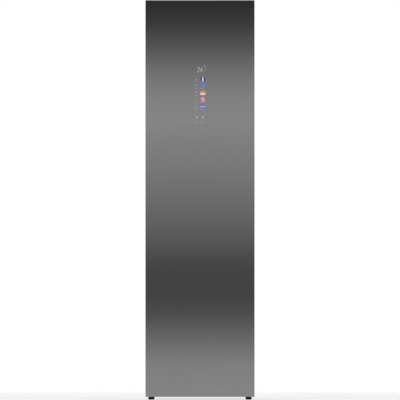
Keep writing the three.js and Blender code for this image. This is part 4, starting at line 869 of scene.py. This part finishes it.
def back():
    """Rear sheet with pressed stiffening frames, air louvres that slope inwards, and its row of screws."""
    low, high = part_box("back_panel")
    panel_set, relief, faint_edge = 0.85 * MM, 0.765 * MM, 0.12 * MM
    outer = high.y - panel_set
    built = from_node("back_panel")
    for vertex in built.verts:
        if vertex.co.y > outer:
            vertex.co.y = outer
    edge_margin = 20 * MM
    inside = [
        vertex.co for vertex in built.verts
        if vertex.co.y > low.y + SUNK / 4 and abs(vertex.co.x) < high.x - edge_margin
    ]
    inlet_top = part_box("mains_inlet")[1].z + edge_margin
    digits = 5
    slot_sides = sorted({round(place.x, digits) for place in inside if place.z > inlet_top})
    slot_edges = sorted({round(place.z, digits) for place in inside if place.z > inlet_top})
    mesh = plain_mesh("back_panel_skin", built)
    add_piece("back_panel_skin", mesh, "cabinet", "galvanised_steel", replaced=("back_panel",),
              edge=faint_edge)

    blade_reach, blade_drop, blade_thick = 7 * MM, 9 * MM, 0.7 * MM
    blades = bmesh.new()
    for left, right in zip(slot_sides[::2], slot_sides[1::2]):
        for top in slot_edges[1::2]:
            start_y, start_z = low.y + SUNK, top + blade_thick
            end_y, end_z = low.y - blade_reach, top - blade_drop
            section = ((start_y, start_z), (end_y, end_z), (end_y, end_z - blade_thick), (start_y, top))
            raised(blades, section, left, right, "X")
    outward(blades)
    mesh = plain_mesh("back_louvres", blades)
    add_piece("back_louvres", mesh, "cabinet", "galvanised_steel", edge=FINE_EDGE / 2)

    frames = bmesh.new()
    fields, over_slots, under_top = 3, 80 * MM, 70 * MM
    first, last = slot_edges[-1] + over_slots, high.z - under_top
    side, gap, corner, width = 190 * MM, 40 * MM, 30 * MM, 9 * MM
    tall = (last - first - (fields - 1) * gap) / fields
    for i in range(fields):
        bottom = first + i * (tall + gap)
        section = bead_section(width, relief, outer, SUNK / 2)
        border(frames, -side, side, bottom, bottom + tall, corner, section)
    outward(frames)
    add_piece("back_stiffeners", plain_mesh("back_stiffeners", frames), "cabinet", "galvanised_steel")

    rows, margin = 7, 8 * MM
    heights = [low.z + 2 * margin + (high.z - low.z - 3 * margin) * i / (rows - 1) for i in range(rows)]
    columns = (low.x + margin, 0, high.x - margin)
    places = [(x, z) for x in columns for z in heights if x or z in heights[::rows - 1]]
    screw_heads("back_screws", places, outer, relief)


# Steam chamber
LINER_WALL = 3 * MM
SHELF_GAP = 3 * MM


def chamber_relief():
    """Upright ribs and a drip ledge on the chamber's rear wall, and a raised field on each side."""
    low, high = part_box("inner_liner")
    rear = high.y - LINER_WALL
    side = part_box("shelf")[1].x + SHELF_GAP
    over_shelf, under_rail = 54 * MM, 39 * MM
    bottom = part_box("shelf")[1].z + over_shelf
    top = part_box("hanger_rail")[0].z - under_rail
    count, pitch, half, proud, soft_edge = 11, 32 * MM, 4 * MM, 2.2 * MM, 1.2 * MM
    ribs = bmesh.new()
    for i in range(count):
        x = (i - (count - 1) / 2) * pitch
        outline = rounded_outline(x - half, x + half, bottom, top, half - SUNK / 4)
        raised(ribs, outline, rear - proud, rear + SUNK)
    ledge = 20 * MM
    outline = rounded_outline(ledge - side, side - ledge, top + ledge, top + 2 * ledge, ledge / 2 - SUNK)
    raised(ribs, outline, rear - 2 * proud, rear + SUNK)
    outward(ribs)
    mesh = plain_mesh("chamber_rear_ribs", ribs)
    add_piece("chamber_rear_ribs", mesh, "cabinet", "liner_plastic", edge=soft_edge)

    fields = bmesh.new()
    margin, corner, proud = 55 * MM, 30 * MM, 1.4 * MM
    for way in (-1, 1):
        outline = rounded_outline(low.y + margin, rear - margin, bottom, top, corner, steps=8)
        raised(fields, outline, way * (side + SUNK), way * (side - proud), "X")
    outward(fields)
    mesh = plain_mesh("chamber_side_fields", fields)
    add_piece("chamber_side_fields", mesh, "cabinet", "liner_plastic", edge=EDGE)


def rail():
    """Polished rail with domed ends and a shallow notch under each hanger's hook."""
    low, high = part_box("hanger_rail")
    radius = (high.z - low.z) / 2
    notch, notch_half, ramp_length = 0.25 * MM, 4.5 * MM, 1.5 * MM
    dome_depth, dome_steps = radius / 2, 6
    end = [(radius * math.sin(angle), high.x - dome_depth * (1 - math.cos(angle)))
           for angle in (i * math.pi / 2 / dome_steps for i in range(dome_steps + 1))]
    profile = [(r, -x) for r, x in end]
    for node in ("hanger_left", "hanger_middle", "hanger_right"):
        hook_low, hook_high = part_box(node)
        x = (hook_low.x + hook_high.x) / 2
        profile += [(radius, x - notch_half - ramp_length), (radius - notch, x - notch_half),
                    (radius - notch, x + notch_half), (radius, x + notch_half + ramp_length)]
    profile += reversed(end)
    built = bmesh.new()
    turned(built, profile, (0, (low.y + high.y) / 2, (low.z + high.z) / 2), "X")
    outward(built)
    add_piece("hanger_rail_bar", plain_mesh("hanger_rail_bar", built), "hanger_rail", "chrome",
              replaced=("hanger_rail",))


# Hangers
HOOK_RADIUS = 16 * MM
HOOK_WIRE = 5 * MM
HOOK_WIRE_RADIUS = 2.4 * MM
HOOK_TAIL = 34 * MM
HOOK_START, HOOK_SWEEP = -math.pi / 6, math.pi * 7 / 6
SHOULDER_DROP = 74 * MM
SHOULDER_POWER = 1.6
SHOULDER_TALL = (18 * MM, 8 * MM)
SHOULDER_THICK = (6 * MM, 4.4 * MM)
SHOULDER_TIP = 0.05
FLAT_SIDES, FLAT_TOP = 0.7, 0.8
NECK_HALF = 8 * MM

# Collar of the hook: radius and height about the neck, in millimetres
COLLAR_PROFILE = ((0, -14), (6.2, -14), (7.2, -6), (6.4, 2), (4.6, 9), (3.6, 12), (0, 12))


def hanger(node):
    """Moulded hanger: rounded shoulders that thin towards their tips, a collar and a bent wire hook."""
    low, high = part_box(node)
    x, y = (low.x + high.x) / 2, (low.y + high.y) / 2
    half = (high.y - low.y) / 2
    middle = HOOK_RADIUS + HOOK_WIRE / 2
    hook_z = high.z - middle - HOOK_WIRE / 2
    neck = hook_z - HOOK_RADIUS - HOOK_TAIL
    steps, sides, least_end = 44, 20, 0.1
    built = bmesh.new()
    rings = []
    for i in range(steps + 1):
        across = math.sin((i / steps - 0.5) * math.pi)
        share = abs(across)
        fall = max(0.0, share * half - NECK_HALF) / (half - NECK_HALF)
        top = neck - SHOULDER_DROP * fall ** SHOULDER_POWER
        tall = SHOULDER_TALL[0] + (SHOULDER_TALL[1] - SHOULDER_TALL[0]) * share
        thick = SHOULDER_THICK[0] + (SHOULDER_THICK[1] - SHOULDER_THICK[0]) * share ** 2
        inside = max(0.0, share - 1 + SHOULDER_TIP) / SHOULDER_TIP
        end = max(least_end, math.sqrt(max(0.0, 1 - inside ** 2)))
        centre = top - tall / 2
        ring = []
        for k in range(sides):
            c, s = math.cos(k * FULL_TURN / sides), math.sin(k * FULL_TURN / sides)
            ring.append(built.verts.new((
                x + thick * end * math.copysign(abs(c) ** FLAT_SIDES, c),
                y + across * half,
                centre + tall / 2 * end * math.copysign(abs(s) ** FLAT_TOP, s),
            )))
        rings.append(ring)
    grid_faces(built, rings)
    built.faces.new(rings[0][::-1])
    built.faces.new(rings[-1])
    turned(built, [(r * MM, h * MM) for r, h in COLLAR_PROFILE], (x, y, neck), sides=28)
    outward(built)
    mesh = plain_mesh(f"{node}_shoulders", built)
    add_piece(f"{node}_shoulders", mesh, node, "dark_plastic", replaced=(node,))

    bend, tail, tail_share, seated = 24, 5, 0.64, 2 * MM
    points = []
    for i in range(bend + 1):
        angle = HOOK_START + i / bend * HOOK_SWEEP
        points.append((x, y + middle * math.cos(angle), hook_z + middle * math.sin(angle)))
    for i in range(tail):
        share = (i + 1) / tail
        swing = share * share * (3 - 2 * share)
        points.append((x, y - middle * (1 - swing), hook_z + share * (neck - hook_z) * tail_share))
    points.append((x, y, neck - seated))
    hook = bmesh.new()
    tube(hook, points, HOOK_WIRE_RADIUS, sides=16)
    outward(hook)
    add_piece(f"{node}_hook", plain_mesh(f"{node}_hook", hook), node, "machined_steel")


# Steam nozzle above its flange: shares of its radius, heights in millimetres below its top
NOZZLE_PROFILE = (
    (0.96, 12), (1.0, 11.4), (1.0, 8.4), (0.95, 7.4), (0.77, 3.4), (0.6, 0.8), (0.4, 0), (0.27, 1),
    (0, 1.4),
)


def nozzle():
    """Steam nozzle: a low dome with a sunk mouth, on its pipe."""
    low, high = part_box("steam_nozzle")
    radius, pipe, pipe_mouth, chamfer = (high.x - low.x) / 2, 6 * MM, 4.2 * MM, 1 * MM
    flange = high.z - NOZZLE_PROFILE[0][1] * MM
    profile = [(0, low.z), (pipe_mouth, low.z), (pipe, low.z + chamfer), (pipe, flange)]
    profile += [(share * radius, high.z - depth * MM) for share, depth in NOZZLE_PROFILE]
    built = bmesh.new()
    turned(built, profile, ((low.x + high.x) / 2, (low.y + high.y) / 2, 0))
    outward(built)
    add_piece("steam_nozzle_cap", plain_mesh("steam_nozzle_cap", built), "cabinet", "dark_plastic",
              replaced=("steam_nozzle",))


# Water tanks
def tank_marks(side):
    """Level lines and a label bar moulded on the front of a water tank."""
    low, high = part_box(f"{side}_tank")
    lines, pitch, first, margin = 7, 18 * MM, 60 * MM, 18 * MM
    long, short, thick, corner, proud = 22 * MM, 12 * MM, 1.6 * MM, 0.64 * MM, 0.5 * MM
    left = low.x + margin
    built = bmesh.new()
    for i in range(lines):
        right = left + (short if i % 3 else long)
        z = low.z + first + pitch * i
        outline = rounded_outline(left, right, z - thick / 2, z + thick / 2, corner, steps=3)
        raised(built, outline, low.y - proud, low.y + SUNK)
    inset, tall, corner, bottom = 40 * MM, 12 * MM, 5.4 * MM, low.z + margin
    outline = rounded_outline(low.x + inset, high.x - inset, bottom, bottom + tall, corner)
    raised(built, outline, low.y - proud, low.y + SUNK)
    outward(built)
    name = f"{side}_tank_marks"
    add_piece(name, plain_mesh(name, built), f"{side}_tank", "grey_plastic", edge=FINE_EDGE)


# Studio
def by_height(tree, height, stops, scale=1.0):
    """Grey tones by a height: pairs of height and tone, the heights spread by a scale."""
    lowest, highest = stops[0][0], stops[-1][0]
    spread = tree.nodes.new("ShaderNodeMapRange")
    spread.inputs["From Min"].default_value = lowest * scale
    spread.inputs["From Max"].default_value = highest * scale
    tree.links.new(height, spread.inputs["Value"])
    return ramp(tree, spread.outputs["Result"], [
        ((place - lowest) / (highest - lowest), (level, level, level, 1)) for place, level in stops
    ])


def studio_wall(front):
    """Round wall with the tones that the door's glass mirrors. Only mirrored rays meet it."""
    scale = 1 + (WALL_RADIUS + front) / CAMERA_DISTANCE
    built = bmesh.new()
    angles = [FULL_TURN * (i + 0.5) / WALL_SIDES for i in range(WALL_SIDES)]
    grid_faces(built, [
        [built.verts.new((WALL_RADIUS * math.sin(a), -WALL_RADIUS * math.cos(a), height)) for a in angles]
        for height in (-WALL_BELOW, WALL_ABOVE)
    ])
    wall = bpy.data.objects.new("studio_wall", plain_mesh("studio_wall", built))
    scene.collection.objects.link(wall)
    wall.location = (0, 0, CAMERA_HEIGHT)
    material = bpy.data.materials.new("studio_wall")
    tree, socket = empty_tree(material)
    shine = tree.nodes.new("ShaderNodeEmission")
    tree.links.new(by_height(tree, height_of(tree, "Object"), STUDIO_BANDS, scale), shine.inputs["Color"])
    tree.links.new(shine.outputs["Emission"], socket)
    wall.data.materials.append(material)
    wall.visible_camera = False
    wall.visible_diffuse = False
    wall.visible_transmission = False
    wall.visible_volume_scatter = False
    wall.visible_shadow = False
    wall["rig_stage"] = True


def studio_world():
    """Fill light, white for the camera, and tones for what is mirrored or seen through."""
    scene.world = bpy.data.worlds.new("studio")
    tree, socket = empty_tree(scene.world, "ShaderNodeOutputWorld")
    rays = tree.nodes.new("ShaderNodeLightPath")

    def background(level):
        node = tree.nodes.new("ShaderNodeBackground")
        node.inputs["Color"].default_value = (level, level, level, 1)
        return node

    mirrored = background(PALE_REFLECTION)
    tree.links.new(by_height(tree, height_of(tree, "Generated"), STUDIO_ROUND), mirrored.inputs["Color"])
    shader = background(FILL_LIGHT).outputs["Background"]
    for ray, node in (
        ("Glossy", mirrored), ("Transmission", background(PALE_REFLECTION)), ("Camera", background(1.0)),
    ):
        shader = mixed(tree, rays.outputs[f"Is {ray} Ray"], shader, node.outputs["Background"])
    tree.links.new(shader, socket)


def studio_floor():
    """Pale floor that keeps the shadow, fades out at its rim and isn't in the mirror's way."""
    bpy.ops.mesh.primitive_circle_add(
        vertices=FLOOR_SIDES, radius=FLOOR_RADIUS, fill_type="NGON", location=(0, 0, -FLOOR_DROP),
    )
    floor = bpy.context.object
    floor.name = "floor"
    material = bpy.data.materials.new("floor")
    tree, socket = empty_tree(material)
    rays = tree.nodes.new("ShaderNodeLightPath")
    matte = tree.nodes.new("ShaderNodeBsdfDiffuse")
    matte.inputs["Color"].default_value = (FLOOR_TONE, FLOOR_TONE, FLOOR_TONE, 1)
    white = tree.nodes.new("ShaderNodeEmission")
    clear = tree.nodes.new("ShaderNodeBsdfTransparent")
    lift = tree.nodes.new("ShaderNodeMath")
    lift.operation = "MULTIPLY"
    lift.inputs[1].default_value = FLOOR_LIFT
    tree.links.new(rays.outputs["Is Camera Ray"], lift.inputs[0])
    pale = mixed(tree, lift.outputs["Value"], matte.outputs["BSDF"], white.outputs["Emission"])

    place = tree.nodes.new("ShaderNodeTexCoord")
    far = tree.nodes.new("ShaderNodeVectorMath")
    far.operation = "LENGTH"
    tree.links.new(place.outputs["Object"], far.inputs[0])
    fade = tree.nodes.new("ShaderNodeMapRange")
    fade.inputs["From Min"].default_value = FLOOR_RADIUS - FLOOR_FADE
    fade.inputs["From Max"].default_value = FLOOR_RADIUS - FLOOR_RIM
    tree.links.new(far.outputs["Value"], fade.inputs["Value"])
    unseen = tree.nodes.new("ShaderNodeMath")
    unseen.operation = "MAXIMUM"
    tree.links.new(fade.outputs["Result"], unseen.inputs[0])
    tree.links.new(rays.outputs["Is Glossy Ray"], unseen.inputs[1])
    tree.links.new(mixed(tree, unseen.outputs["Value"], pale, clear.outputs["BSDF"]), socket)
    floor.data.materials.append(material)
    floor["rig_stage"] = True


def studio_lamps(middle):
    """Large soft lamps that face the object's middle; the rear one isn't mirrored."""
    for name, place, share in LAMPS:
        lamp = bpy.data.lights.new(f"{name}_lamp", "AREA")
        lamp.shape = "DISK"
        lamp.size = LAMP_SIZE
        lamp.energy = LAMP_POWER * share
        holder = bpy.data.objects.new(f"{name}_lamp", lamp)
        scene.collection.objects.link(holder)
        holder.location = place
        holder.rotation_euler = (middle - holder.location).to_track_quat("-Z", "Y").to_euler()
        holder.visible_glossy = name != "rear"


def studio_camera(front):
    """Level camera straight in front of the door."""
    camera = bpy.data.objects.new("camera", bpy.data.cameras.new("camera"))
    scene.collection.objects.link(camera)
    camera.data.sensor_width = SENSOR
    camera.data.lens = SENSOR * CAMERA_DISTANCE / FRAME_WIDTH
    camera.location = (0, front - CAMERA_DISTANCE, CAMERA_HEIGHT)
    camera.rotation_euler = (math.pi / 2, 0, 0)
    scene.camera = camera
    scene.view_settings.view_transform = "Standard"


def studio():
    """Everything round the object."""
    low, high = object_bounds()
    studio_world()
    studio_floor()
    studio_wall(low.y)
    studio_lamps(Vector((0, 0, (low.z + high.z) / 2)))
    studio_camera(low.y)


# Smaller or larger edge roundings than the usual, in millimetres
EDGES = {
    "inner_liner": 1.3, "tank_bay": 1.3, "door_liner": 1.3, "door_shell": 0.6,
    "supply_tank": 1.1, "supply_tank_lid": 1.1, "drain_tank": 1.1, "drain_tank_lid": 1.1,
    "side_panel_left": 0.45, "side_panel_right": 0.45, "top_panel": 0.4,
    "shelf": 1.6, "press_leaf": 1.6, "air_grille": 0.7, "interior_lamp": 1.0, "mains_inlet": 0.6,
    "compressor": 2.5, "control_box": 1.8, "steam_generator": 1.2, "fan_impeller": 0.4, "motor_pulley": 0.6,
}


def build():
    """All pieces: the ones with a shape of their own, then every other node in its finish."""
    mirror_pane()
    display_marks()
    door_seal()
    door_liner_beads()
    trouser_press()
    feet()
    back()
    chamber_relief()
    rail()
    for side in ("left", "middle", "right"):
        hanger(f"hanger_{side}")
    nozzle()
    for side in ("supply", "drain"):
        tank_marks(side)
    for node in sorted(set(nodes) - stood_for):
        dress(node, EDGES[node] * MM if node in EDGES else EDGE)


studio()
build()
